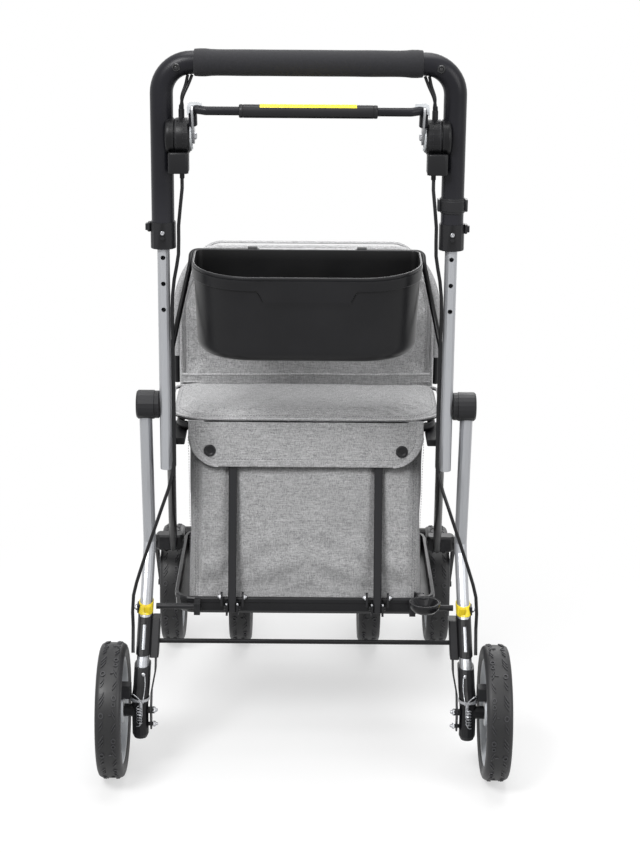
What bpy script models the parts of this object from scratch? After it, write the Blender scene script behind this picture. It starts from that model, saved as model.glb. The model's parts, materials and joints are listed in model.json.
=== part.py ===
"""Shopping rollator: a walking frame with a seat over a fabric bag, a bin under
the handle and six wheels. Metres, +Z up, X to the user's right, Y away from the
user. The origin is the middle of the footprint, on the ground."""

import math

import bmesh
import bpy
from mathutils import Vector

# Driving dimensions, in metres
GAP = 0.0003
WHEELBASE = 0.510
WHEEL_R = 0.100
TYRE_W = 0.037
TYRE_DEPTH = 0.022
REAR_TRACK = 0.278
FRONT_TRACK = 0.222
INNER_TRACK = 0.108
AXLE_R = 0.005
HUB_R = 0.016
DRUM_R = 0.0195
RIM_W = 0.030

COLUMN_X = 0.2025
COLUMN_Y = -0.160
COLUMN_W = 0.0175
COLUMN_D = 0.028
COLUMN_WALL = 0.0015
COLUMN_LOW = 0.442
COLUMN_INSIDE = 0.093
HOLE_R = 0.0035
HOLE_PITCH = 0.0375
HOLE_RISE = 0.0585
HOLE_COUNT = 5

HANDLE_Z = 1.026
HANDLE_TUBE_R = 0.016
HANDLE_BORE_R = 0.0144
HANDLE_BEND_R = 0.042
HANDLE_LENGTH = 0.254
GRIP_HALF = 0.157
GRIP_R = 0.0180
GRIP_END_R = 0.0190
COLLAR_WALL = 0.0015
COLLAR_HEIGHT = 0.033
COLLAR_FLOOR = 0.004
BUTTON_TRAVEL = 0.002

PIVOT_Y = -0.165
PIVOT_DROP = 0.100
HOUSING_R = 0.025
HOUSING_W = 0.0225
PIVOT_PIN_R = 0.003
BLOCK_DROP = 0.053
BAR_Y = -0.200
BAR_RISE = 0.0395
BAR_R = 0.006
SLEEVE_HALF = 0.0945
SLEEVE_R = 0.00925

KNOB_Y = -0.156
KNOB_Z = 0.536
KNOB_R = 0.021
KNOB_W = 0.026
LEG_X = 0.232
LEG_W = 0.0185
LEG_D = 0.028
LEG_BEND_Y = -0.120
LEG_BEND_Z = 0.310
WHEEL_CLEAR = 0.0085
KNUCKLE_R = 0.012
CUP_TOP = 0.1575
CUP_LOW = 0.121
LATCH_Z = 0.2295
LATCH_H = 0.018
GUIDE_LOW = 0.172
CROSS_ROD_R = 0.0035
CROSS_ROD_Z = 0.186
SHOE_GAP = 0.0015

FRONT_LEG_W = 0.013
FRONT_LEG_D = 0.022
CROWN_Y = 0.164
CROWN_Z = 0.208
BLADE_T = 0.004
BLADE_CLEAR = 0.002
CROSS_TUBE_R = 0.011
CROSS_TUBE_Z = 0.222

TRAY_HALF = 0.194
TRAY_NEAR = -0.150
TRAY_FAR = 0.149
TRAY_LOW = 0.209
TRAY_TOP = 0.235
TRAY_WALL = 0.004
TRAY_CORNER = 0.030
LOCK_ROD_R = 0.0045
STRUT_X = 0.108
STRUT_W = 0.012
STRUT_T = 0.008
STRUT_FOOT_Y = -0.1585
STRUT_FOOT_Z = 0.222
STRUT_TOP_Y = -0.0975
STRUT_TOP_Z = 0.4755
BOLT_R = 0.003
EAR_T = 0.003

SEAT_HALF = 0.196
SEAT_FAR = 0.080
SEAT_LOW = 0.489
SEAT_T = 0.020
SEAT_CORNER = 0.060
SEAT_TUBE_R = 0.006
FLAP_HALF = 0.174
FLAP_LOW = 0.400
FLAP_T = 0.004
FLAP_CORNER = 0.045
SNAP_X = 0.142
SNAP_Z = 0.452
SNAP_R = 0.009

BAG_HALF = 0.176
BAG_FOOT_Y = -0.140
BAG_WALL = 0.005
BACK_HALF = 0.198
BACK_NEAR = 0.084
BACK_FAR = 0.196
BACK_TOP = 0.738
BACK_CORNER = 0.085
HOOP_R = 0.004

BIN_HALF = 0.167
BIN_FAR = -0.056
BIN_NEAR = -0.206
BIN_LOW = 0.6175
BIN_TOP = 0.735
BIN_TAPER = 0.010
BIN_CORNER = 0.060
BIN_WALL = 0.003
RAIL_R = 0.004
RAIL_REACH = 0.022
RAIL_CORNER = 0.050
RAIL_BEND_R = 0.030
HOOK_X = 0.080
HOOK_W = 0.014
HOOK_T = 0.0025

SPRING_R = 0.0040
SPRING_WIRE = 0.0006
SPRING_TURNS = 6
SPRING_PITCH = 0.0044
CABLE_R = 0.0025

# Places worked out from the driving dimensions
REAR_Y = -WHEELBASE / 2
HANDLE_LOW = HANDLE_Z - HANDLE_LENGTH
COLUMN_TOP = HANDLE_LOW + COLUMN_INSIDE
HOLE_TOP = HANDLE_LOW + HOLE_RISE
COLLAR_TOP = HANDLE_LOW + COLLAR_HEIGHT
TREAD_IN = REAR_TRACK - TYRE_W / 2
PIVOT_Z = HANDLE_Z - PIVOT_DROP
BAR_Z = PIVOT_Z + BAR_RISE
KNUCKLE_X = TREAD_IN - WHEEL_CLEAR - KNUCKLE_R
FRONT_Y = WHEELBASE / 2
AXLE_Z = WHEEL_R
TREAD_HALF = TYRE_W / 2
RIM_R = WHEEL_R - TYRE_DEPTH
COLUMN_IN = COLUMN_X - COLUMN_W / 2
COLUMN_OUT = COLUMN_X + COLUMN_W / 2
COLUMN_NEAR = COLUMN_Y - COLUMN_D / 2
COLUMN_FRONT = COLUMN_Y + COLUMN_D / 2
SLEEVE_BORE_R = HANDLE_TUBE_R + GAP
COLLAR_R = SLEEVE_BORE_R + COLLAR_WALL
COLLAR_LOW = HANDLE_LOW - GAP - COLLAR_FLOOR
HOUSING_OUT = COLUMN_X - HANDLE_TUBE_R - 0.001
HOUSING_IN = HOUSING_OUT - HOUSING_W
ARM_T = 0.0032
CAP_T = 0.0027
CAP_IN = HOUSING_IN - GAP - CAP_T
ARM_OUT = CAP_IN - GAP
ARM_IN = ARM_OUT - ARM_T
LEG_IN = LEG_X - LEG_W / 2
KNOB_IN = LEG_X - KNOB_W / 2
CUP_RX = LEG_W / 2 + 0.0035
JOINT_IN = COLUMN_IN - 0.0035
JOINT_OUT = COLUMN_OUT - 0.004
JOINT_FAR = COLUMN_FRONT + 0.028
JOINT_Z = 0.455
RAIL_X = JOINT_IN - GAP - RAIL_R
RAIL_Y = COLUMN_FRONT + 0.004
BAG_TOP = SEAT_LOW - 2 * SEAT_TUBE_R - 3 * GAP
BACK_LOW = BAG_TOP + GAP
SEAT_TUBE_Z = SEAT_LOW - GAP - SEAT_TUBE_R
SEAT_TUBE_NEAR = STRUT_TOP_Y + 0.0045
SEAT_TUBE_HALF = SEAT_HALF - 0.014
BAG_FAR = TRAY_FAR - TRAY_WALL - 0.0015
PEDAL_X = 0.176
PEDAL_Y = TRAY_NEAR + 0.001
PEDAL_Z = TRAY_TOP + 0.006
X_AXIS = Vector((1, 0, 0))
Y_AXIS = Vector((0, 1, 0))
Z_AXIS = Vector((0, 0, 1))
SIDES = {"left": -1, "right": 1}


def clear_scene():
    for item in list(bpy.data.objects):
        bpy.data.objects.remove(item)


def linear(value):
    value /= 255
    return value / 12.92 if value < 0.04045 else ((value + 0.055) / 1.055) ** 2.4


def material(name, srgb, roughness, metallic=0.0):
    made = bpy.data.materials.new(name)
    made.use_nodes = True
    shader = made.node_tree.nodes["Principled BSDF"]
    shader.inputs["Base Color"].default_value = [linear(c) for c in srgb] + [1.0]
    shader.inputs["Roughness"].default_value = roughness
    shader.inputs["Metallic"].default_value = metallic
    made.diffuse_color = [c / 255 for c in srgb] + [1.0]
    return made


def body(name, at=(0, 0, 0), parent=None):
    """An empty on a joint's axis, which carries the pieces that move together."""
    made = bpy.data.objects.new(name, None)
    made.empty_display_size = 0.03
    bpy.context.scene.collection.objects.link(made)
    made.parent = parent
    made["place"] = list(at)
    made.location = Vector(at) - (Vector(parent["place"]) if parent else Vector())
    return made


def place(name, data, look, carrier, at=(0, 0, 0)):
    """Links the data as an object at the given world point, under its carrier."""
    made = bpy.data.objects.new(name, data)
    bpy.context.scene.collection.objects.link(made)
    data.materials.append(look)
    if carrier:
        made.parent = carrier
        made.location = Vector(at) - Vector(carrier["place"])
    else:
        made.location = at
    return made


def solid(name, build, look, carrier, at=(0, 0, 0), sharp=35):
    """One mesh object, drawn by build in world coordinates, with its origin at the point."""
    bm = bmesh.new()
    build(bm)
    bmesh.ops.translate(bm, verts=bm.verts, vec=-Vector(at))
    data = bpy.data.meshes.new(name)
    bm.to_mesh(data)
    bm.free()
    data.shade_smooth()
    data.set_sharp_from_angle(angle=math.radians(sharp))
    return place(name, data, look, carrier, at)


def combine(target, build, operation, solver="EXACT"):
    """Cuts the drawn shape out of the target, or joins it on."""
    tool = solid(target.name + "_tool", build, target.data.materials[0], None)
    tool.hide_render = True
    tool.display_type = "WIRE"
    step = target.modifiers.new(operation.lower(), "BOOLEAN")
    step.operation = operation
    step.solver = solver
    step.object = tool
    return target


def pair(name, build, look, carrier, at=(0, 0, 0), joins=(), cuts=(), solver="EXACT"):
    """A left and a right object, drawn by functions of the side, which is -1 or 1."""
    x, y, z = at
    for side_name, side in SIDES.items():

        def on_side(draw):
            return lambda bm: draw(bm, side)

        made = solid(f"{name}_{side_name}", on_side(build), look, carrier, (side * x, y, z))
        for draw in joins:
            combine(made, on_side(draw), "UNION", solver)
        for draw in cuts:
            combine(made, on_side(draw), "DIFFERENCE", solver)


def tube(name, run, radius, look, carrier, at=(0, 0, 0), sides=2, loop=False):
    """A round rod along a run of points, as a curve with filled caps."""
    data = bpy.data.curves.new(name, "CURVE")
    data.dimensions = "3D"
    data.bevel_depth = radius
    data.bevel_resolution = sides
    data.use_fill_caps = True
    spline = data.splines.new("POLY")
    spline.points.add(len(run) - 1)
    for knot, point in zip(spline.points, run):
        knot.co = (*(Vector(point) - Vector(at)), 1.0)
    spline.use_cyclic_u = loop
    spline.use_smooth = True
    return place(name, data, look, carrier, at)


def skin(bm, rings, closed=False):
    """Joins rings of as many points each into one closed skin."""
    rows = [[bm.verts.new(point) for point in ring] for ring in rings]
    count = len(rows[0])
    faces = []
    for low, high in zip(rows, rows[1:] + rows[:1]) if closed else zip(rows, rows[1:]):
        for i in range(count):
            j = (i + 1) % count
            faces.append(bm.faces.new((low[i], low[j], high[j], high[i])))
    if not closed:
        faces.append(bm.faces.new(reversed(rows[0])))
        faces.append(bm.faces.new(rows[-1]))
    volume = 0.0
    for face in faces:
        first, *rest = [v.co for v in face.verts]
        volume += sum(first.dot(b.cross(c)) for b, c in zip(rest, rest[1:]))
    if volume < 0:
        bmesh.ops.reverse_faces(bm, faces=faces)


def oval(centre, across, upward, radius_a, radius_b, count):
    """A ring of points round the centre, in the plane of the two directions."""
    found = []
    for i in range(count):
        turn = 2 * math.pi * i / count
        found.append(
            Vector(centre)
            + across * (radius_a * math.cos(turn))
            + upward * (radius_b * math.sin(turn))
        )
    return found


def flat_oval(x, y, z, half_x, half_y, count=16):
    """A level ring whose long sides are nearly flat, as a drawn oval tube has."""
    found = []
    for i in range(count):
        turn = 2 * math.pi * i / count
        c, s = math.cos(turn), math.sin(turn)
        power = 0.8
        dx = math.copysign(abs(c) ** power, c) * half_x
        dy = math.copysign(abs(s) ** power, s) * half_y
        found.append(Vector((x + dx, y + dy, z)))
    return found


def turn_x(bm, profile, y, z, side=1, count=24, closed=False):
    """Turns a profile of (x, radius) about an axle along X."""
    rings = [oval((side * x, y, z), Y_AXIS, Z_AXIS, r, r, count) for x, r in profile]
    skin(bm, rings, closed)


def turn_y(bm, profile, x, z, count=16):
    rings = [oval((x, y, z), X_AXIS, Z_AXIS, r, r, count) for y, r in profile]
    skin(bm, rings)


def plan_ring(x0, x1, y0, y1, z, near_r, far_r, inset=0.0, steps=4):
    """A level rounded rectangle, drawn in by the inset, with its own near and far corners."""
    x0, x1, y0, y1 = x0 + inset, x1 - inset, y0 + inset, y1 - inset
    near_r = max(near_r - inset, 0.0005)
    far_r = max(far_r - inset, 0.0005)
    corners = (
        (x1 - far_r, y1 - far_r, far_r, 0),
        (x0 + far_r, y1 - far_r, far_r, 1),
        (x0 + near_r, y0 + near_r, near_r, 2),
        (x1 - near_r, y0 + near_r, near_r, 3),
    )
    found = []
    for cx, cy, r, quarter in corners:
        for i in range(steps + 1):
            turn = math.pi / 2 * (quarter + i / steps)
            found.append(Vector((cx + r * math.cos(turn), cy + r * math.sin(turn), z)))
    return found


def block(bm, x0, x1, y0, y1, z0, z1, edge=0.001, steps=1):
    """A box with its edges eased."""
    x0, x1 = min(x0, x1), max(x0, x1)
    levels = ((z0, edge), (z0 + edge, 0), (z1 - edge, 0), (z1, edge))
    skin(bm, [plan_ring(x0, x1, y0, y1, z, 2 * edge, 2 * edge, i, steps) for z, i in levels])


def box(bm, x0, x1, y0, y1, z0, z1):
    """A sharp box, for small tabs and ears."""
    corners = ((x0, y0), (x1, y0), (x1, y1), (x0, y1))
    skin(bm, [[Vector((x, y, z)) for x, y in corners] for z in (z0, z1)])


def link(bm, x0, x1, ends, steps=3):
    """A flat bar across X with round ends, given as (y, z, radius)."""
    (ya, za, ra), (yb, zb, rb) = ends
    heading = math.atan2(zb - za, yb - ya)
    outline = []
    for y, z, r, start in ((yb, zb, rb, -math.pi / 2), (ya, za, ra, math.pi / 2)):
        for i in range(steps + 1):
            turn = heading + start + math.pi * i / steps
            outline.append((y + r * math.cos(turn), z + r * math.sin(turn)))
    skin(bm, [[Vector((x, y, z)) for y, z in outline] for x in (x0, x1)])


def bent(points, radius, steps=5):
    """The run through the points, with each inner corner turned on the radius."""
    points = [Vector(p) for p in points]
    found = [points[0]]
    for before, corner, after in zip(points, points[1:], points[2:]):
        back = (before - corner).normalized()
        ahead = (after - corner).normalized()
        half = back.angle(ahead) / 2
        reach = min(radius / math.tan(half), 0.48 * (before - corner).length)
        reach = min(reach, 0.48 * (after - corner).length)
        start, end = corner + back * reach, corner + ahead * reach
        for i in range(steps + 1):
            t = i / steps
            found.append(start.lerp(corner, t).lerp(corner.lerp(end, t), t))
    found.append(points[-1])
    return found


def smooth(points, step):
    """Points at about the step along a smooth curve through the route's own points."""
    route = [Vector(p) for p in points]
    route = [2 * route[0] - route[1]] + route + [2 * route[-1] - route[-2]]
    found = [route[1]]
    for a, b, c, d in zip(route, route[1:], route[2:], route[3:]):
        pieces = max(1, round((c - b).length / step))
        for i in range(1, pieces + 1):
            t = i / pieces
            found.append(
                0.5
                * (
                    2 * b
                    + (c - a) * t
                    + (2 * a - 5 * b + 4 * c - d) * t**2
                    + (3 * b - a - 3 * c + d) * t**3
                )
            )
    return found


def leg_y(z):
    """Where the rear leg's middle lies, at a height."""
    if z > LEG_BEND_Z:
        return KNOB_Y + (KNOB_Z - z) / (KNOB_Z - LEG_BEND_Z) * (LEG_BEND_Y - KNOB_Y)
    return LEG_BEND_Y + (LEG_BEND_Z - z) / (LEG_BEND_Z - AXLE_Z) * (REAR_Y - LEG_BEND_Y)


def leg_x(z):
    if z > LEG_BEND_Z:
        return LEG_X
    return LEG_X + (LEG_BEND_Z - z) / (LEG_BEND_Z - AXLE_Z) * (KNUCKLE_X - LEG_X)


def leg_half_depth(z):
    """The rear leg's half depth in a level cut, which grows where the leg leans."""
    lean = (leg_y(z + 0.01) - leg_y(z - 0.01)) / 0.02
    return LEG_D / 2 * math.sqrt(1 + lean * lean)


def leg_ring(side, z, extra=0.0, count=16):
    return flat_oval(
        side * leg_x(z), leg_y(z), z, LEG_W / 2 + extra, leg_half_depth(z) + extra, count
    )


def strut_y(z):
    """Where the struts' middle lies, at a height."""
    along = (z - STRUT_FOOT_Z) / (STRUT_TOP_Z - STRUT_FOOT_Z)
    return STRUT_FOOT_Y + along * (STRUT_TOP_Y - STRUT_FOOT_Y)


def flap_y(z):
    """The flap's far face, which hangs just over the struts."""
    return strut_y(z) - STRUT_T / 2 - 0.0015


LATCH_Y = leg_y(LATCH_Z)
LATCH_IN = leg_x(LATCH_Z) - LEG_W / 2 - 0.0022
CROSS_ROD_Y = leg_y(CROSS_ROD_Z)
FLAP_TOP = SEAT_LOW + 0.009
SEAT_NEAR = flap_y(FLAP_TOP) + GAP
BAG_NEAR_TOP = strut_y(BAG_TOP) + STRUT_T / 2 + 0.001
RAIL_BACK_Y = BIN_FAR + RAIL_R + 0.0008
RAIL_TOP_Z = BIN_TOP - 0.004

clear_scene()

black = material("black_plastic", (45, 45, 48), 0.45)
satin = material("satin_plastic", (50, 50, 52), 0.38)
foam = material("foam", (44, 44, 48), 0.85)
coat = material("black_coat", (40, 40, 43), 0.5, 0.2)
silver = material("silver_tube", (196, 198, 202), 0.32, 0.9)
steel = material("bright_steel", (175, 176, 178), 0.3, 1.0)
grey = material("light_grey_plastic", (196, 199, 202), 0.5)
yellow = material("yellow_plastic", (250, 214, 28), 0.45)
rubber = material("rubber", (52, 52, 55), 0.8)
cloth = material("grey_cloth", (160, 160, 162), 0.9)

frame = body("frame")
handle = body("handle", (0, COLUMN_Y, COLLAR_LOW), frame)
brake_lever = body("brake_lever", (0, PIVOT_Y, PIVOT_Z), handle)
rear_frame = body("rear_frame", (0, KNOB_Y, KNOB_Z), frame)
seat = body("seat", (0, SEAT_FAR, SEAT_LOW + SEAT_T), frame)
bin_body = body("bin_body", (0, BIN_FAR, BIN_TOP), frame)
pedal = body("pedal", (0, PEDAL_Y, PEDAL_Z), frame)


def make_columns():
    """The height-adjusting oval tubes, with a row of pin holes facing the user."""
    wall = COLUMN_WALL

    def draw(bm, side):
        rings = []
        for half_x, half_y, levels in (
            (COLUMN_W / 2, COLUMN_D / 2, (COLUMN_LOW, COLUMN_TOP)),
            (COLUMN_W / 2 - wall, COLUMN_D / 2 - wall, (COLUMN_TOP, COLUMN_LOW)),
        ):
            for z in levels:
                rings.append(flat_oval(side * COLUMN_X, COLUMN_Y, z, half_x, half_y))
        skin(bm, rings, closed=True)

    def holes(bm, side):
        for i in range(HOLE_COUNT):
            z = HOLE_TOP - i * HOLE_PITCH
            reach = ((COLUMN_NEAR - 0.002, HOLE_R), (COLUMN_Y, HOLE_R))
            turn_y(bm, reach, side * COLUMN_X, z, 8)

    pair("column", draw, silver, frame, (COLUMN_X, COLUMN_Y, COLUMN_LOW), cuts=[holes])


def make_handle():
    """The one-piece bent handle tube, its foam grip and its rivets."""

    def draw(bm):
        steps = 5
        rings = []
        top = HANDLE_Z - HANDLE_BEND_R
        for side, order in ((-1, 1), (1, -1)):
            x = side * COLUMN_X
            leg = [
                oval((x, COLUMN_Y, top), X_AXIS, Y_AXIS, HANDLE_BORE_R, HANDLE_BORE_R, 16),
                oval((x, COLUMN_Y, HANDLE_LOW), X_AXIS, Y_AXIS, HANDLE_BORE_R, HANDLE_BORE_R, 16),
                oval((x, COLUMN_Y, HANDLE_LOW), X_AXIS, Y_AXIS, HANDLE_TUBE_R, HANDLE_TUBE_R, 16),
            ]
            for i in range(steps + 1):
                turn = math.pi / 2 * i / steps
                inward = Vector((-side, 0, 0))
                centre = Vector((x, COLUMN_Y, top)) + inward * HANDLE_BEND_R
                out = -inward * math.cos(turn) + Z_AXIS * math.sin(turn)
                spot = centre + out * HANDLE_BEND_R
                leg.append(oval(spot, out * side, Y_AXIS, HANDLE_TUBE_R, HANDLE_TUBE_R, 16))
            if side == -1:
                rings.extend(leg)
            else:
                for ring in leg:
                    ring[:] = [ring[(8 - k) % 16] for k in range(16)]
                rings.extend(reversed(leg))
        skin_turned(bm, rings)

    def rivets(bm):
        reach = HANDLE_BEND_R * math.sqrt(0.5)
        for side in (-1, 1):
            x = side * (COLUMN_X - HANDLE_BEND_R + reach)
            near = COLUMN_Y - HANDLE_TUBE_R
            rivet = ((near + 0.004, 0.0052), (near - 0.0012, 0.0050), (near - 0.0022, 0.0030))
            turn_y(bm, rivet, x, HANDLE_Z - HANDLE_BEND_R + reach, 12)

    made = solid("handle_tube", draw, black, handle, (0, COLUMN_Y, COLLAR_LOW))
    combine(made, rivets, "UNION")

    def draw_grip(bm):
        half, bore = GRIP_HALF, HANDLE_TUBE_R + GAP
        profile = [(-half, bore), (half, bore), (half, GRIP_END_R - 0.002)]
        profile += [(half - 0.003, GRIP_END_R), (half - 0.018, GRIP_END_R), (half - 0.026, GRIP_R)]
        profile += [(-half + 0.026, GRIP_R), (-half + 0.018, GRIP_END_R)]
        profile += [(-half + 0.003, GRIP_END_R), (-half, GRIP_END_R - 0.002)]
        turn_x(bm, profile, COLUMN_Y, HANDLE_Z, 1, 16, closed=True)

    solid("handle_grip", draw_grip, foam, handle, (0, COLUMN_Y, HANDLE_Z))


def skin_turned(bm, rings):
    """A skin whose rings are first turned so that each starts nearest to the one before."""
    lined = [rings[0]]
    for ring in rings[1:]:
        count = len(ring)
        last = lined[-1]
        best = None
        for order in (1, -1):
            for shift in range(count):
                trial = [ring[(shift + order * k) % count] for k in range(count)]
                middle_a = sum(last, Vector()) / count
                middle_b = sum(trial, Vector()) / count
                cost = sum(
                    ((a - middle_a) - (b - middle_b)).length for a, b in zip(last, trial)
                )
                if best is None or cost < best[0] - 1e-9:
                    best = (cost, trial)
        lined.append(best[1])
    skin(bm, lined)


def make_collars():
    """The clamp collars at the handle's lower ends, with their squeeze buttons."""
    boss_out = COLLAR_R + 0.004
    boss_low, boss_high = COLLAR_TOP - 0.014, COLLAR_TOP - 0.001
    half = 0.007

    def draw(bm, side):
        x, floor = side * COLUMN_X, COLLAR_LOW + COLLAR_FLOOR
        rings = []
        for z, r in (
            (COLLAR_LOW, COLLAR_R),
            (COLLAR_TOP, COLLAR_R),
            (COLLAR_TOP, SLEEVE_BORE_R),
            (floor, SLEEVE_BORE_R),
        ):
            rings.append(oval((x, COLUMN_Y, z), X_AXIS, Y_AXIS, r, r, 16))
        half_x, half_y = COLUMN_W / 2 + GAP, COLUMN_D / 2 + GAP
        rings.append(flat_oval(x, COLUMN_Y, floor, half_x, half_y))
        rings.append(flat_oval(x, COLUMN_Y, COLLAR_LOW, half_x, half_y))
        skin(bm, rings, closed=True)

    def boss(bm, side):
        x = side * COLUMN_X
        inner, outer = side * (COLLAR_R - 0.001), side * boss_out
        y0, y1 = COLUMN_Y - half, COLUMN_Y + half
        block(bm, x + inner, x + outer, y0, y1, boss_low, boss_high)

    def rivet(bm, side):
        near = COLUMN_Y - COLLAR_R
        head = ((near + 0.001, 0.0036), (near - 0.0015, 0.0032))
        turn_y(bm, head, side * COLUMN_X, (COLLAR_LOW + COLLAR_TOP) / 2 - 0.002, 10)

    def pocket(bm, side):
        x = side * COLUMN_X
        y0, y1 = COLUMN_Y - half + 0.0016, COLUMN_Y + half - 0.0016
        inner, outer = side * (SLEEVE_BORE_R - 0.0005), side * (boss_out + 0.001)
        z0, z1 = boss_low + 0.0016, boss_high - 0.0016
        box(bm, x + inner, x + outer, y0, y1, z0, z1)

    at = (COLUMN_X, COLUMN_Y, COLLAR_LOW)
    pair("height_collar", draw, black, handle, at, [boss, rivet], [pocket])

    root_x = COLUMN_X + HANDLE_TUBE_R + GAP + BUTTON_TRAVEL
    tip_x = COLUMN_X + boss_out + 0.003
    for side_name, side in SIDES.items():
        at = (side * root_x, COLUMN_Y, COLLAR_TOP)
        carrier = body("button_body_" + side_name, at, handle)

        def button(bm):
            inset = 0.0016 + GAP
            y0, y1 = COLUMN_Y - half + inset, COLUMN_Y + half - inset
            z0, z1 = boss_low + inset, boss_high - inset
            block(bm, side * root_x, side * tip_x, y0, y1, z0, z1, 0.0006)

        solid("height_button_" + side_name, button, black, carrier, at)


def make_brake_lever():
    """Housings on the tubes, their light covers, and the squeeze bar between them."""
    block_low, block_high = PIVOT_Z - BLOCK_DROP, PIVOT_Z - 0.020
    block_half = 0.012

    def housing(bm, side):
        a, b = HOUSING_IN, HOUSING_OUT
        bore = PIVOT_PIN_R + GAP
        profile = [(a, bore), (a, HOUSING_R - 0.003), (a + 0.003, HOUSING_R)]
        profile += [(b - 0.003, HOUSING_R), (b, HOUSING_R - 0.003), (b, bore)]
        turn_x(bm, profile, PIVOT_Y, PIVOT_Z, side, 20, closed=True)

    def cable_block(bm, side):
        ends = ((PIVOT_Y + 0.001, block_low + block_half, block_half),)
        ends += ((PIVOT_Y + 0.001, block_high, block_half),)
        link(bm, side * (HOUSING_IN + 0.003), side * (HOUSING_OUT - 0.002), ends, 4)

    def saddle(bm, side):
        y0, y1 = COLUMN_Y - 0.006, COLUMN_Y + 0.006
        z0, z1 = PIVOT_Z - 0.018, PIVOT_Z + 0.018
        x0, x1 = side * (HOUSING_OUT - 0.003), side * (HOUSING_OUT + 0.0007)
        block(bm, x0, x1, y0, y1, z0, z1, 0.0008)

    at = (HOUSING_IN, PIVOT_Y, PIVOT_Z)
    pair("brake_housing", housing, black, handle, at, [cable_block, saddle])

    def cover(bm, side):
        a, b = CAP_IN, CAP_IN + CAP_T
        bore, outer = PIVOT_PIN_R + GAP, HOUSING_R - 0.004
        profile = [(a, bore), (a, outer - 0.002), (a + 0.0015, outer), (b, outer), (b, bore)]
        turn_x(bm, profile, PIVOT_Y, PIVOT_Z, side, 20, closed=True)

    pair("housing_cover", cover, grey, handle, at)

    def bar(bm):
        end = ARM_IN + 0.001
        turn_x(bm, ((-end, BAR_R), (end, BAR_R)), BAR_Y, BAR_Z, 1, 16)

    def arms(bm):
        ends = ((PIVOT_Y, PIVOT_Z, 0.011), (BAR_Y, BAR_Z, BAR_R + 0.001))
        for side in (-1, 1):
            link(bm, side * ARM_IN, side * ARM_OUT, ends, 8)

    def pins(bm):
        for side in (-1, 1):
            reach = ((ARM_IN + 0.001, PIVOT_PIN_R), (HOUSING_IN + 0.012, PIVOT_PIN_R))
            turn_x(bm, reach, PIVOT_Y, PIVOT_Z, side, 12)

    made = solid("brake_bar", bar, black, brake_lever, (0, PIVOT_Y, PIVOT_Z))
    combine(made, arms, "UNION")
    combine(made, pins, "UNION")

    def sleeve(bm):
        half, bore = SLEEVE_HALF, BAR_R + GAP
        profile = [(-half, bore), (half, bore), (half, SLEEVE_R - 0.0015)]
        profile += [(half - 0.002, SLEEVE_R), (-half + 0.002, SLEEVE_R), (-half, SLEEVE_R - 0.0015)]
        turn_x(bm, profile, BAR_Y, BAR_Z, 1, 16, closed=True)

    solid("brake_bar_sleeve", sleeve, satin, brake_lever, (0, BAR_Y, BAR_Z))


def make_front_legs():
    """Front legs with the blocks at the columns' feet that hold them, and the fold pivots."""
    top_x = (JOINT_IN + JOINT_OUT) / 2
    foot_x = FRONT_TRACK - 0.006

    def leg(bm, side):
        start = Vector((side * top_x, JOINT_FAR + 0.004, JOINT_Z + 0.002))
        end = Vector((side * foot_x, CROWN_Y - 0.014 - GAP, CROWN_Z + 0.002))
        heading = (end - start).normalized()
        upward = X_AXIS.cross(heading).normalized()
        lean = 1 / abs(heading.y)
        half = (JOINT_OUT - JOINT_IN) / 2
        rings = []
        for y, shrink in ((COLUMN_FRONT + GAP, 0), (JOINT_FAR - 0.006, 0), (JOINT_FAR, 0.002)):
            spot = Vector((side * top_x, y, JOINT_Z + 0.003))
            rings.append(square_ring(spot, half - shrink, 0.025 - 2 * shrink))
        for share, square in ((0, True), (0.12, False), (0.9, False), (1, True)):
            rings.append(leg_cut(start.lerp(end, share), upward, lean, square))
        skin(bm, rings)

    def shelf(bm, side):
        top = SEAT_TUBE_Z - SEAT_TUBE_R - GAP
        x0, x1 = side * (SEAT_TUBE_HALF - 0.004), side * (JOINT_OUT - 0.003)
        y0, y1 = JOINT_FAR - 0.010, SEAT_TUBE_NEAR + 0.055
        block(bm, x0, x1, y0, y1, top - 0.010, top, 0.0008)

    pair("front_leg", leg, coat, frame, (top_x, JOINT_FAR, JOINT_Z), [shelf])

    def pivot(bm, side):
        a, b = COLUMN_OUT + GAP, KNOB_IN - GAP
        profile = [(KNOB_IN + 0.005, 0.004), (b, 0.004), (b, KNOB_R - 0.001)]
        profile += [(a + 0.001, KNOB_R - 0.001), (a, KNOB_R - 0.002)]
        turn_x(bm, profile, KNOB_Y, KNOB_Z, side, 20)

    pair("fold_pivot", pivot, black, frame, (COLUMN_OUT, KNOB_Y, KNOB_Z))


def square_ring(spot, half_x, half_z, count=16):
    """An upright ring with nearly square corners, which lines up with an oval of as many points."""
    found = []
    for i in range(count):
        turn = 2 * math.pi * i / count
        c, s = math.cos(turn), math.sin(turn)
        reach = min(1 / max(abs(c), 1e-6), 1 / max(abs(s), 1e-6)) * 0.96
        dx = max(-1.0, min(1.0, c * reach)) * half_x
        dz = max(-1.0, min(1.0, s * reach)) * half_z
        found.append(spot + X_AXIS * dx + Z_AXIS * dz)
    return found


def leg_cut(spot, upward, lean, square):
    """A cut through a front leg, square to Y at its ends and to the leg between them."""
    if square:
        return oval(spot, X_AXIS, Z_AXIS, FRONT_LEG_W / 2, FRONT_LEG_D / 2 * lean, 16)
    return oval(spot, X_AXIS, upward, FRONT_LEG_W / 2, FRONT_LEG_D / 2, 16)


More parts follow.
